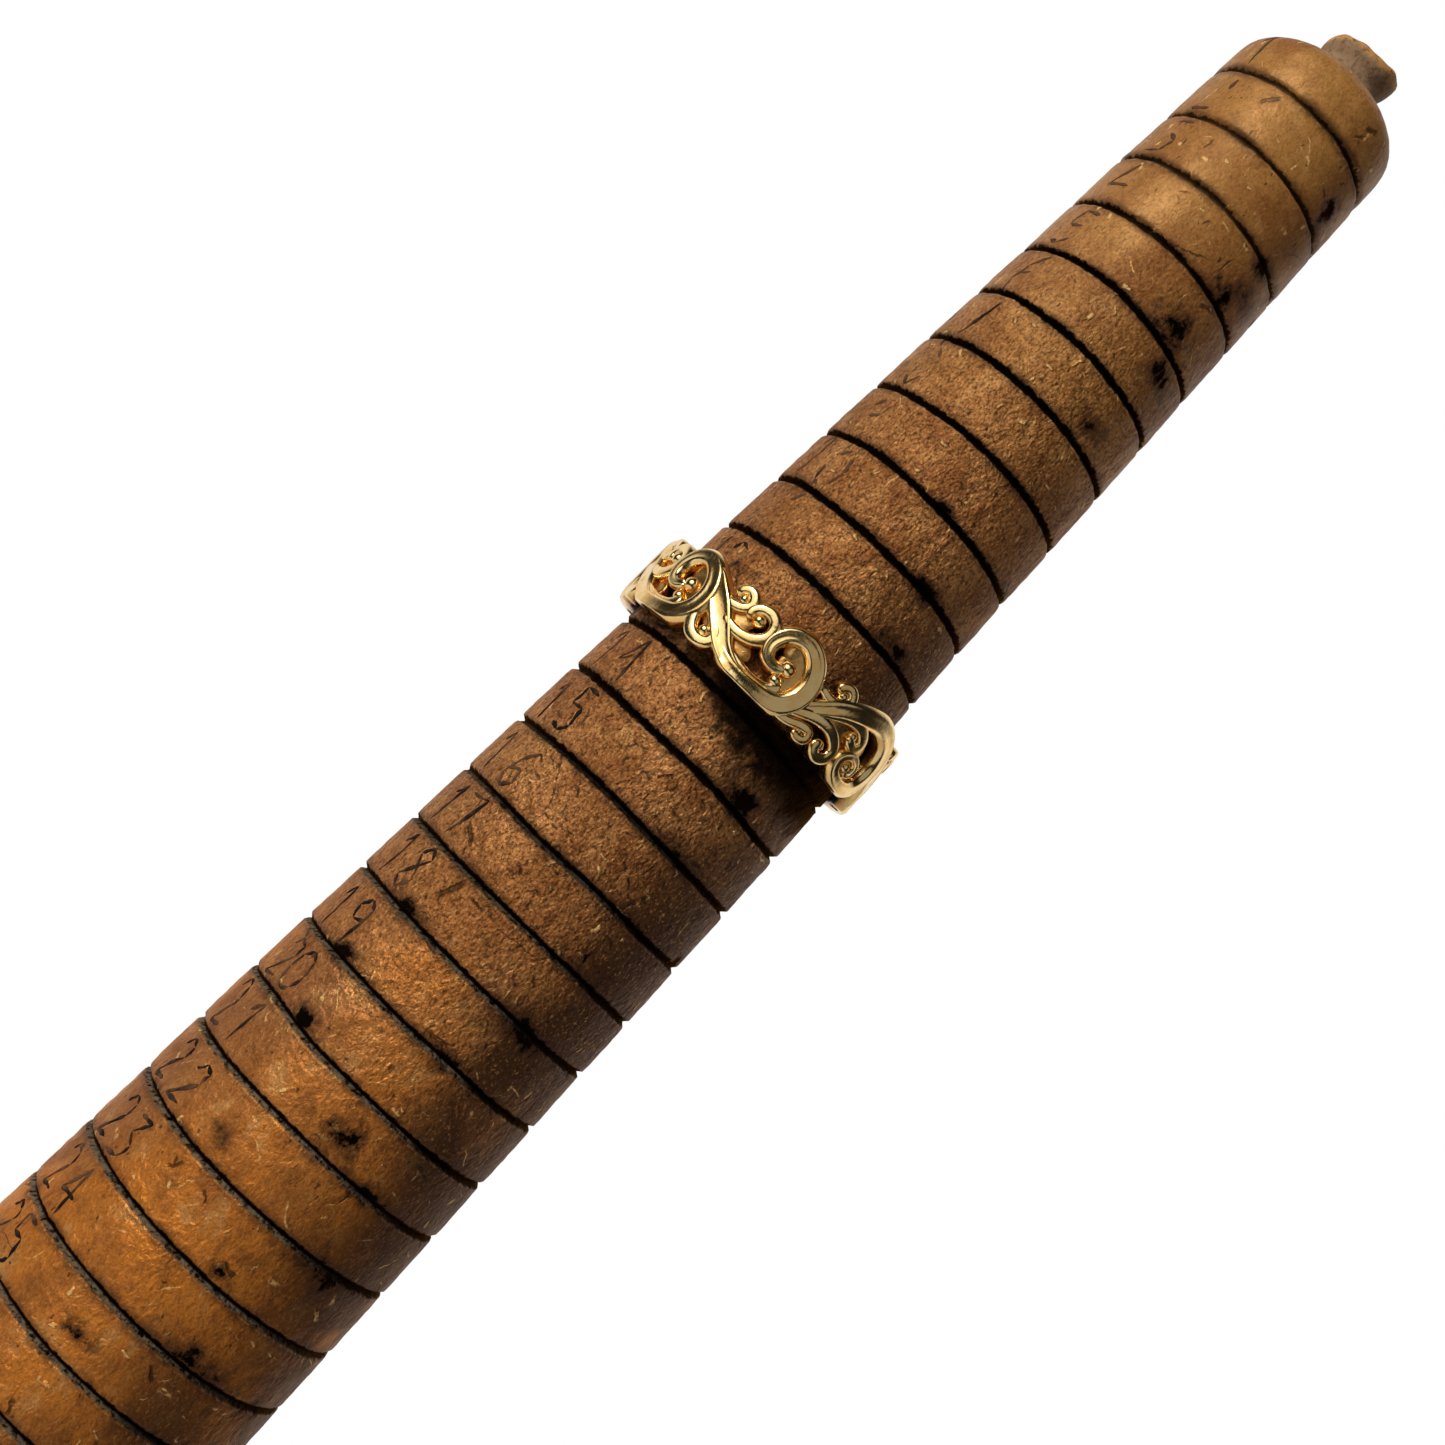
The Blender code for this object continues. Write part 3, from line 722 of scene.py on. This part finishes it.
def new_material(name, roughness, metallic, coat_roughness=0.3):
    """A Principled material, its tree and its shader; what is even all over is set on the shader."""
    material = bpy.data.materials.new(name)
    material.use_nodes = True
    tree = material.node_tree
    shader = tree.nodes["Principled BSDF"]
    shader.inputs["Roughness"].default_value = roughness
    shader.inputs["Metallic"].default_value = metallic
    shader.inputs["Coat Roughness"].default_value = coat_roughness
    return material, tree, shader


def object_coordinates(tree):
    return tree.nodes.new("ShaderNodeTexCoord").outputs["Object"]


def uv_coordinates(tree, name):
    node = tree.nodes.new("ShaderNodeUVMap")
    node.uv_map = name
    return node.outputs[0]


def wobbled(tree, vector, spot):
    """A vector moved up to a tenth of a millimetre by noise, so that marks laid by it are uneven."""
    wobble = tree.nodes.new("ShaderNodeTexNoise")
    feed(tree, wobble.inputs["Vector"], spot)
    wobble.inputs["Scale"].default_value = 2000.0
    wobble.inputs["Detail"].default_value = 3.0
    size = tree.nodes.new("ShaderNodeVectorMath")
    size.operation = "SCALE"
    feed(tree, size.inputs[0], wobble.outputs["Color"])
    size.inputs["Scale"].default_value = 0.45 * MM
    total = tree.nodes.new("ShaderNodeVectorMath")
    feed(tree, total.inputs[0], vector)
    feed(tree, total.inputs[1], size.outputs[0])
    return total.outputs[0]


# ------------------------------------------------------------------------- effects used by several finishes
def make_strokes():
    """Short bent strokes on an unrolled surface, one to a cell of a grid of random points. A point's
    offset from its cell's own point is turned by the cell's random angle into a distance along the
    stroke and a distance across it, which is bent by the square of the distance along."""
    tree, inside, outside = group("strokes", [
        ("Vector", "vector", None), ("Scale", "number", 1000.0), ("Length", "number", 0.3),
        ("Width", "number", 0.04), ("Turn", "number", 0.0), ("Spread", "number", 3.14),
        ("Share", "number", 0.5)], [("Mask", "number")])
    cells = tree.nodes.new("ShaderNodeTexVoronoi")
    cells.voronoi_dimensions = "2D"
    feed(tree, cells.inputs["Vector"], inside.outputs["Vector"])
    feed(tree, cells.inputs["Scale"], inside.outputs["Scale"])
    offset = tree.nodes.new("ShaderNodeVectorMath")
    offset.operation = "SUBTRACT"
    feed(tree, offset.inputs[0], inside.outputs["Vector"])
    feed(tree, offset.inputs[1], cells.outputs["Position"])
    own = tree.nodes.new("ShaderNodeVectorMath")
    own.operation = "SCALE"
    feed(tree, own.inputs[0], offset.outputs[0])
    feed(tree, own.inputs["Scale"], inside.outputs["Scale"])
    pick = tree.nodes.new("ShaderNodeSeparateColor")
    feed(tree, pick.inputs[0], cells.outputs["Color"])
    swing = times(tree, minus(tree, pick.outputs[0], 0.5),
                      times(tree, inside.outputs["Spread"], 2.0))
    turned = tree.nodes.new("ShaderNodeVectorRotate")
    turned.rotation_type = "Z_AXIS"
    feed(tree, turned.inputs["Vector"], own.outputs[0])
    feed(tree, turned.inputs["Angle"], plus(tree, inside.outputs["Turn"], swing))
    parts = tree.nodes.new("ShaderNodeSeparateXYZ")
    feed(tree, parts.inputs[0], turned.outputs[0])
    bend = times(tree, minus(tree, pick.outputs[1], 0.5), 1.6)
    bent = times(tree, times(tree, parts.outputs[0], parts.outputs[0]), bend)
    across = math_node(tree, "ABSOLUTE", minus(tree, parts.outputs[1], bent))
    along = math_node(tree, "ABSOLUTE", parts.outputs[0])
    size = plus(tree, times(tree, pick.outputs[2], 0.8), 0.3)
    reach = times(tree, inside.outputs["Length"], size)
    on_length = ramp(tree, along, reach, times(tree, reach, 0.5))
    breadth = times(tree, inside.outputs["Width"], size)
    on_width = ramp(tree, across, breadth, times(tree, breadth, 0.35))
    random = tree.nodes.new("ShaderNodeTexWhiteNoise")
    random.noise_dimensions = "3D"
    feed(tree, random.inputs["Vector"], cells.outputs["Color"])
    wanted = math_node(tree, "LESS_THAN", random.outputs["Value"], inside.outputs["Share"])
    stroke = times(tree, on_length, on_width)
    feed(tree, outside.inputs["Mask"], times(tree, stroke, wanted))
    return tree


def make_leather():
    """The lumpy skin of old wood, long held in the hand: soft lumps a few tenths of a millimetre across,
    and finer grain on them."""
    tree, inside, outside = group("leather", [("Vector", "vector", None), ("Scale", "number", 2400.0)],
                                  [("Height", "number")])
    lumps = noise(tree, inside.outputs["Vector"], inside.outputs["Scale"], 2.0, 0.5, 0.6)
    finer = times(tree, inside.outputs["Scale"], 2.6)
    grain = noise(tree, inside.outputs["Vector"], finer, 3.0, 0.6)
    total = plus(tree, lumps, times(tree, grain, 0.28))
    feed(tree, outside.inputs["Height"], total)
    return tree


STROKES = make_strokes()
LEATHER = make_leather()


# ------------------------------------------------------------------------- finishes
def old_varnished_wood():
    """Ochre-brown wood with a burnished, lumpy skin, whose sheen has the wood's own colour and so
    comes from the metallic share; soot is given no gloss in the same way. Red-brown and purple-brown
    clouds, black stains, dark pores and nicks, pale scratches, soot and grey dust in the size lines
    and soot in the numerals. The button's neck is grey with dirt and its broken end bare. Painted
    shade darkens the right flank from the ring down and keeps the size lines black on their tip-side
    walls and on that flank; a painted shadow lies below the ring, and a painted highlight on the
    lines' butt-side lips."""
    material, tree, shader = new_material("old_varnished_wood", 0.5, 0.0)
    shader.inputs["Specular IOR Level"].default_value = 0.5
    shader.inputs["Specular Tint"].default_value = (1.0, 0.62, 0.30, 1)
    spot = object_coordinates(tree)
    parts = tree.nodes.new("ShaderNodeSeparateXYZ")
    feed(tree, parts.inputs[0], spot)
    height = parts.outputs[2]
    flat = wobbled(tree, uv_coordinates(tree, "unrolled"), spot)

    clouds = noise(tree, mapped(tree, spot, (1, 1, 0.8)), 150.0, 5.0, 0.62, 0.5)
    drift = noise(tree, spot, 60.0, 3.0, 0.5, 0.3)
    mottle = noise(tree, mapped(tree, spot, (1, 1, 0.7)), 520.0, 5.0, 0.66, 0.3)
    speckle = noise(tree, mapped(tree, spot, (1, 1, 0.8)), 2600.0, 4.0, 0.72)
    grain = noise(tree, mapped(tree, spot, (1, 1, 0.7)), 6200.0, 2.0, 0.7)

    middle = math_node(tree, "MINIMUM", ramp(tree, height, 0.128, 0.152), ramp(tree, height, 0.212, 0.190))
    by_ring = math_node(tree, "MINIMUM", ramp(tree, height, 0.136, 0.152), ramp(tree, height, 0.182, 0.170))
    place_up = plus(tree, height, ramp(tree, drift, 0.2, 0.8, -0.02, 0.02))
    colour = blend(tree, ramp(tree, place_up, 0.165, 0.215), WOOD_BROWN, WOOD_GOLD)
    colour = blend(tree, ramp(tree, place_up, 0.150, 0.115), colour, WOOD_ORANGE)
    colour = blend(tree, ramp(tree, clouds, 0.42, 0.64, 0.0, 0.62), colour, WOOD_UMBER)
    colour = blend(tree, ramp(tree, drift, 0.50, 0.66, 0.0, 0.40), colour, WOOD_PLUM)
    uneven = ramp(tree, height, 0.215, 0.190, 0.55, 1.0)
    patch = times(tree, ramp(tree, mottle, 0.49, 0.66, 0.0, 0.72), uneven)
    colour = blend(tree, patch, colour, WOOD_UMBER)
    patch = times(tree, ramp(tree, mottle, 0.47, 0.32, 0.0, 0.65), uneven)
    colour = blend(tree, patch, colour, WOOD_PALE)
    side = plus(tree, parts.outputs[0], ramp(tree, drift, 0.25, 0.75, -4 * MM, 4 * MM))
    # Painted shade: the wood darkens towards the right flank, the side turned from the key light, most from
    # the ring down to the grip and fading out towards the tip.
    painted_flank_shade = times(tree, ramp(tree, side, -1 * MM, 7 * MM), ramp(tree, height, 0.205, 0.165))
    painted_flank_shade = times(tree, painted_flank_shade, ramp(tree, clouds, 0.28, 0.50, 0.40, 0.95))
    colour = blend(tree, painted_flank_shade, colour, WOOD_DARK)
    fleck = plus(tree, times(tree, middle, 0.45), 0.30)
    colour = blend(tree, times(tree, ramp(tree, speckle, 0.52, 0.68), fleck), colour, WOOD_DARK)
    colour = blend(tree, times(tree, ramp(tree, grain, 0.50, 0.64), fleck), colour, WOOD_DARK)
    colour = blend(tree, times(tree, ramp(tree, grain, 0.44, 0.30), fleck), colour, WOOD_PALE)

    gap = attribute(tree, "line_gap")
    rag = noise(tree, spot, 2100.0, 4.0, 0.7)
    wave = noise(tree, spot, 300.0, 3.0, 0.55)
    line_side = attribute(tree, "line_side")
    away = plus(tree, gap, ramp(tree, rag, 0.25, 0.75, -0.09, 0.09))
    grimy = ramp(tree, wave, 0.36, 0.62, 0.20, 1.0)
    halo = times(tree, ramp(tree, away, 0.80, 0.22, 0.0, 0.75), grimy)
    colour = blend(tree, halo, colour, WOOD_DARK)
    # Worn wood and a painted highlight: a faint pale line on each size line's butt-side lip, the edge that
    # faces the light.
    worn_lip_and_highlight = ramp(tree, math_node(tree, "ABSOLUTE", minus(tree, gap, 0.33)), 0.09, 0.02)
    worn_lip_and_highlight = times(tree, worn_lip_and_highlight, ramp(tree, rag, 0.50, 0.58))
    worn_lip_and_highlight = times(tree, worn_lip_and_highlight, ramp(tree, line_side, 0.2, -0.2))
    colour = blend(tree, times(tree, worn_lip_and_highlight, 0.18), colour, WOOD_WORN_AND_HIGHLIGHT)

    dots = place(tree, STROKES, vector=flat, scale=1500.0, length=0.22, width=0.16, turn=1.5708,
                 spread=0.5, share=0.07)
    pores = place(tree, STROKES, vector=flat, scale=700.0, length=0.24, width=0.11, turn=1.5708,
                  spread=0.6, share=0.09)
    nicks = place(tree, STROKES, vector=flat, scale=240.0, length=0.24, width=0.050, turn=0.9,
                  spread=1.6, share=0.34)
    cracks = place(tree, STROKES, vector=flat, scale=110.0, length=0.30, width=0.011, turn=0.6,
                   spread=1.3, share=0.30)
    pits = place(tree, STROKES, vector=mapped(tree, flat, location=(0.0053, 0.0009, 0)), scale=1150.0,
                 length=0.50, width=0.15, turn=0.9, spread=1.2, share=0.45)
    pitted = times(tree, pits["Mask"], by_ring)
    dots_or_pits = math_node(tree, "MAXIMUM", dots["Mask"], pitted)
    dark_marks = math_node(tree, "MAXIMUM", math_node(tree, "MAXIMUM", dots_or_pits, pores["Mask"]),
                           math_node(tree, "MAXIMUM", nicks["Mask"], cracks["Mask"]))
    dark_marks = times(tree, dark_marks, ramp(tree, speckle, 0.30, 0.50, 0.4, 1.0))
    colour = blend(tree, times(tree, dark_marks, 0.75), colour, SOOT_AND_SHADE_BLACK)

    chips = place(tree, STROKES, vector=mapped(tree, flat, location=(0.0031, 0.0017, 0)), scale=620.0,
                  length=0.26, width=0.11, turn=0.9, spread=1.3, share=0.26)
    scars = place(tree, STROKES, vector=mapped(tree, flat, location=(0.0011, 0.0043, 0)), scale=330.0,
                  length=0.28, width=0.022, turn=1.0, spread=1.5, share=0.60)
    pale_marks = math_node(tree, "MAXIMUM", chips["Mask"], scars["Mask"])
    pale_marks = times(tree, pale_marks, ramp(tree, rag, 0.40, 0.56))
    colour = blend(tree, times(tree, pale_marks, 0.82), colour, WOOD_WORN_AND_HIGHLIGHT)

    stain_edge = plus(tree, attribute(tree, "stain"), ramp(tree, mottle, 0.25, 0.75, 1.0, -1.0))
    stain_edge = plus(tree, stain_edge, ramp(tree, rag, 0.2, 0.8, -0.5, 0.5))
    stained = ramp(tree, stain_edge, 0.20, 0.85)
    colour = blend(tree, ramp(tree, stain_edge, -0.9, 0.4, 0.0, 0.80), colour, WOOD_DARK)
    colour = blend(tree, stained, colour, SOOT_AND_SHADE_BLACK)

    thinner = ramp(tree, height, 0.195, 0.212, 0.0, 0.07)
    soot = ramp(tree, plus(tree, away, thinner), 0.32, 0.18)
    soot = times(tree, soot, ramp(tree, height, 0.200, 0.216, 1.0, 0.8))
    # Painted shade in the size lines: grey dust shows only on each line's butt-side wall, which faces the
    # key light, and fades out towards the right flank, so the tip-side walls and the right flank stay soot
    # black.
    dust = times(tree, ramp(tree, line_side, 0.1, -0.3), ramp(tree, speckle, 0.36, 0.58))
    dust = times(tree, dust, ramp(tree, side, 7 * MM, 1 * MM, 0.1, 1.0))
    dust = times(tree, dust, math_node(
        tree, "MAXIMUM", ramp(tree, height, 0.165, 0.14), ramp(tree, height, 0.204, 0.214, 0.0, 0.5)))
    colour = blend(tree, soot, colour, blend(tree, dust, SOOT_AND_SHADE_BLACK, DUST_GREY))

    # Painted shadow of the ring on the wood below its seat: near black, reaching further down and darker
    # towards the right flank, and given no gloss.
    below_ring = minus(tree, RING_SEAT + 0.3 * MM, height)
    reach = ramp(tree, parts.outputs[0], -7 * MM, 5 * MM, 1.0 * MM, 4.4 * MM)
    below_rag = plus(tree, below_ring, ramp(tree, mottle, 0.25, 0.75, -0.8 * MM, 0.8 * MM))
    painted_ring_shadow = times(tree, ramp(tree, below_ring, -0.3 * MM, 0.3 * MM),
                      ramp(tree, below_rag, reach, times(tree, reach, 0.55)))
    painted_ring_shadow = times(tree, painted_ring_shadow, ramp(tree, parts.outputs[0], -8 * MM, 1 * MM, 0.45, 0.97))
    colour = blend(tree, painted_ring_shadow, colour, SOOT_AND_SHADE_BLACK)

    end = attribute(tree, "end")
    end_rag = plus(tree, end, ramp(tree, mottle, 0.2, 0.8, -0.16, 0.16))
    neck = times(tree, ramp(tree, end_rag, 0.0, 0.20), ramp(tree, end_rag, 0.90, 0.74))
    neck = times(tree, neck, ramp(tree, end, 0.005, 0.06))
    colour = blend(tree, times(tree, neck, 0.9), colour,
                   blend(tree, ramp(tree, speckle, 0.45, 0.70, 0.0, 0.6), NECK_GREY, WOOD_DARK))
    colour = blend(tree, ramp(tree, end_rag, 0.70, 0.86, 0.0, 0.95), colour,
                   blend(tree, ramp(tree, speckle, 0.50, 0.66, 0.0, 0.8), WOOD_PALE, WOOD_DARK))
    feed(tree, shader.inputs["Base Color"], colour)

    roughness = ramp(tree, clouds, 0.3, 0.7, 0.42, 0.54)
    roughness = plus(tree, roughness, ramp(tree, mottle, 0.4, 0.7, 0.0, 0.10))
    dull = math_node(tree, "MAXIMUM", soot, math_node(tree, "MAXIMUM", stained, neck))
    dull = math_node(tree, "MAXIMUM", dull, painted_ring_shadow)
    roughness = plus(tree, roughness, times(tree, dull, 0.3), clamp=True)
    feed(tree, shader.inputs["Roughness"], roughness)
    sheen = times(tree, ramp(tree, clouds, 0.25, 0.7, 0.55, 0.32),
                      minus(tree, 1.0, dull))
    sheen = times(tree, sheen, ramp(tree, height, 0.205, 0.182, 0.15, 1.0))
    bare_soot = times(tree, soot, minus(tree, 1.0, dust))
    black = math_node(tree, "MAXIMUM", math_node(tree, "MAXIMUM", bare_soot, painted_ring_shadow), stained)
    feed(tree, shader.inputs["Metallic"], math_node(tree, "MAXIMUM", sheen, black))

    skin = place(tree, LEATHER, vector=mapped(tree, spot, (1, 1, 0.8)), scale=2300.0)
    relief = plus(tree, skin["Height"], times(tree, mottle, 1.5))
    relief = minus(tree, relief, times(tree, nicks["Mask"], 0.8))
    relief = plus(tree, relief, times(tree, chips["Mask"], 0.5))
    relief = minus(tree, relief, times(tree, soot, 0.4))
    relief = plus(tree, relief, times(tree, times(tree, speckle, soot), 1.2))
    relief = times(tree, relief, plus(
        tree, times(tree, middle, 1.6), ramp(tree, height, 0.19, 0.21, 1.5, 0.55)))
    feed(tree, shader.inputs["Normal"], bump(tree, relief, 0.08 * MM, 1.0))
    return material


def packed_soot():
    """Matt black soot and dust packed in the cuts of the numerals, browner where it has worn away."""
    material, tree, shader = new_material("packed_soot", 0.85, 0.0)
    shader.inputs["Specular IOR Level"].default_value = 0.15
    spot = object_coordinates(tree)
    worn = noise(tree, spot, 420.0, 4.0, 0.6)
    fine = noise(tree, spot, 3200.0, 3.0, 0.6)
    parts = tree.nodes.new("ShaderNodeSeparateXYZ")
    feed(tree, parts.inputs[0], spot)
    worn = plus(tree, worn, ramp(tree, parts.outputs[2], 0.165, 0.190, 0.0, 0.12))
    colour = blend(tree, ramp(tree, worn, 0.42, 0.62, 0.0, 0.95), SOOT_AND_SHADE_BLACK, WOOD_STAINED)
    colour = blend(tree, ramp(tree, fine, 0.55, 0.70, 0.0, 0.6), colour, WOOD_DARK)
    feed(tree, shader.inputs["Base Color"], colour)
    feed(tree, shader.inputs["Roughness"], ramp(tree, fine, 0.3, 0.7, 0.7, 0.95))
    feed(tree, shader.inputs["Normal"], bump(tree, fine, 0.03 * MM, 0.8))
    return material


def polished_gold():
    """Yellow gold, polished bright on the crests by wear and left brown and dull in the deep places,
    with fine scratches, and with painted near-black shade at the feet of the strokes by the bore. How
    deep a place lies is its distance from the stick's axis."""
    material, tree, shader = new_material("polished_gold", 0.16, 1.0)
    spot = object_coordinates(tree)
    parts = tree.nodes.new("ShaderNodeSeparateXYZ")
    feed(tree, parts.inputs[0], spot)
    square = plus(tree, times(tree, parts.outputs[0], parts.outputs[0]),
                       times(tree, parts.outputs[1], parts.outputs[1]))
    outward = math_node(tree, "SQRT", square)
    blotch = noise(tree, spot, 900.0, 4.0, 0.6, 0.4)
    fine = noise(tree, spot, 5200.0, 3.0, 0.6)
    lifted = plus(tree, outward, ramp(tree, blotch, 0.25, 0.75, -0.14 * MM, 0.14 * MM))
    deep = ramp(tree, lifted, RING_BORE + 1.00 * MM, RING_BORE + 0.45 * MM)
    colour = blend(tree, ramp(tree, blotch, 0.4, 0.65), GOLD_PALE, GOLD_WARM)
    colour = blend(tree, times(tree, deep, 0.9), colour, GOLD_TARNISH)
    # Painted shade: the feet of the strokes, close to the bore where they meet the wood, are near black.
    foot = ramp(tree, lifted, RING_BORE + 0.45 * MM, RING_BORE + 0.15 * MM)
    colour = blend(tree, foot, colour, GOLD_PAINTED_SHADE)
    feed(tree, shader.inputs["Base Color"], colour)
    roughness = plus(tree, ramp(tree, blotch, 0.3, 0.7, 0.15, 0.24), times(tree, deep, 0.12))
    feed(tree, shader.inputs["Roughness"], roughness)
    relief = plus(tree, times(tree, blotch, 0.8),
                       times(tree, fine, plus(tree, times(tree, deep, 0.8), 0.05)))
    feed(tree, shader.inputs["Normal"], bump(tree, relief, 0.05 * MM, 0.8))
    return material


def pale_floor_finish():
    """Matt white studio paper with a faint mottle."""
    material, tree, shader = new_material("white_paper", 0.9, 0.0)
    mottle = noise(tree, object_coordinates(tree), 40.0)
    colour = blend(tree, ramp(tree, mottle, 0.3, 0.7), (0.90, 0.90, 0.895, 1), (0.93, 0.93, 0.925, 1))
    feed(tree, shader.inputs["Base Color"], colour)
    return material


# ------------------------------------------------------------------------- camera, floor and light
def make_camera():
    """The camera looks a little up the stick from beside the ring, rolled so that the stick lies
    corner to corner with its tip at the upper right."""
    ring_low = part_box("scroll_ring")[0]
    climb = math.radians(5.82)
    roll = math.radians(45.53)
    distance = 138.9 * MM
    aim = Vector((0.37 * MM, 0, ring_low.z - 1.22 * MM))
    forward = Vector((0, math.cos(climb), math.sin(climb)))
    tip_way = Vector((0, -math.sin(climb), math.cos(climb)))
    side_way = Vector((1, 0, 0))
    right = tip_way * math.cos(roll) + side_way * math.sin(roll)
    upward = tip_way * math.sin(roll) - side_way * math.cos(roll)
    where = aim - forward * distance
    camera = bpy.data.cameras.new("camera")
    camera.lens = 55.8
    camera.sensor_width = 36.0
    camera.clip_start = 5 * MM
    camera.clip_end = 10.0
    holder = bpy.data.objects.new("camera", camera)
    holder.matrix_world = Matrix((
        (right.x, upward.x, -forward.x, where.x),
        (right.y, upward.y, -forward.y, where.y),
        (right.z, upward.z, -forward.z, where.z),
        (0, 0, 0, 1)))
    bpy.context.scene.collection.objects.link(holder)
    bpy.context.scene.camera = holder


def make_floor():
    """A round sheet of paper under the stick, half a metre across."""
    angles = np.linspace(0, 2 * math.pi, 64, endpoint=False)
    rim = np.stack([0.25 * np.cos(angles), 0.25 * np.sin(angles), np.zeros(64)], -1)
    mesh = bpy.data.meshes.new("floor")
    mesh.from_pydata(rim.tolist(), [], [list(range(64))])
    floor = bpy.data.objects.new("floor", mesh)
    bpy.context.scene.collection.objects.link(floor)
    mesh.materials.append(pale_floor_finish())


def area_light(name, where, target, size, power, colour=(1, 1, 1)):
    lamp = bpy.data.lights.new(name, "AREA")
    lamp.shape = "DISK"
    lamp.size = size
    lamp.energy = power
    lamp.color = colour
    holder = bpy.data.objects.new(name, lamp)
    holder.location = where
    holder.rotation_euler = (Vector(target) - Vector(where)).to_track_quat("-Z", "Y").to_euler()
    bpy.context.scene.collection.objects.link(holder)


def make_light():
    """A small box at the upper left inside a large softbox, a weak card at the right, and a white
    studio wall behind the stick that fades to a dark room in front. The camera sees plain white."""
    middle = (0, 0, 0.16)
    area_light("key_box", (-0.50, -0.47, 0.50), middle, 0.10, 3.2)
    area_light("softbox", (-0.40, -0.48, 0.40), middle, 0.70, 1.3)
    area_light("fill_card", (0.34, -0.50, 0.30), middle, 0.70, 0.34)
    world = bpy.data.worlds.new("studio")
    bpy.context.scene.world = world
    world.use_nodes = True
    tree = world.node_tree
    tree.nodes.clear()
    outward = tree.nodes.new("ShaderNodeTexCoord").outputs["Generated"]
    parts = tree.nodes.new("ShaderNodeSeparateXYZ")
    feed(tree, parts.inputs[0], outward)
    strength = ramp(tree, parts.outputs["Y"], 0.08, 0.62, 0.012, 0.85)
    room = tree.nodes.new("ShaderNodeBackground")
    room.inputs["Color"].default_value = (1, 1, 1, 1)
    feed(tree, room.inputs["Strength"], strength)
    white = tree.nodes.new("ShaderNodeBackground")
    white.inputs["Color"].default_value = (1, 1, 1, 1)
    white.inputs["Strength"].default_value = 1.0
    seen = tree.nodes.new("ShaderNodeLightPath").outputs["Is Camera Ray"]
    mix = tree.nodes.new("ShaderNodeMixShader")
    feed(tree, mix.inputs[0], seen)
    feed(tree, mix.inputs[1], room.outputs[0])
    feed(tree, mix.inputs[2], white.outputs[0])
    surface = tree.nodes.new("ShaderNodeOutputWorld")
    feed(tree, surface.inputs["Surface"], mix.outputs[0])


# ------------------------------------------------------------------------- building the scene
bpy.context.scene.view_settings.view_transform = "Standard"
make_camera()
make_floor()
make_light()

stick, stick_shape, size_lines = ring_stick()
stick.data.materials.append(old_varnished_wood())
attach(stick, "stick")
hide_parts("ring_stick")

numerals = numeral_soot(stick_shape, size_lines)
numerals.data.materials.append(packed_soot())
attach(numerals, "stick")

ring = scroll_ring()
ring.data.materials.append(polished_gold())
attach(ring, "ring")
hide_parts("scroll_ring")
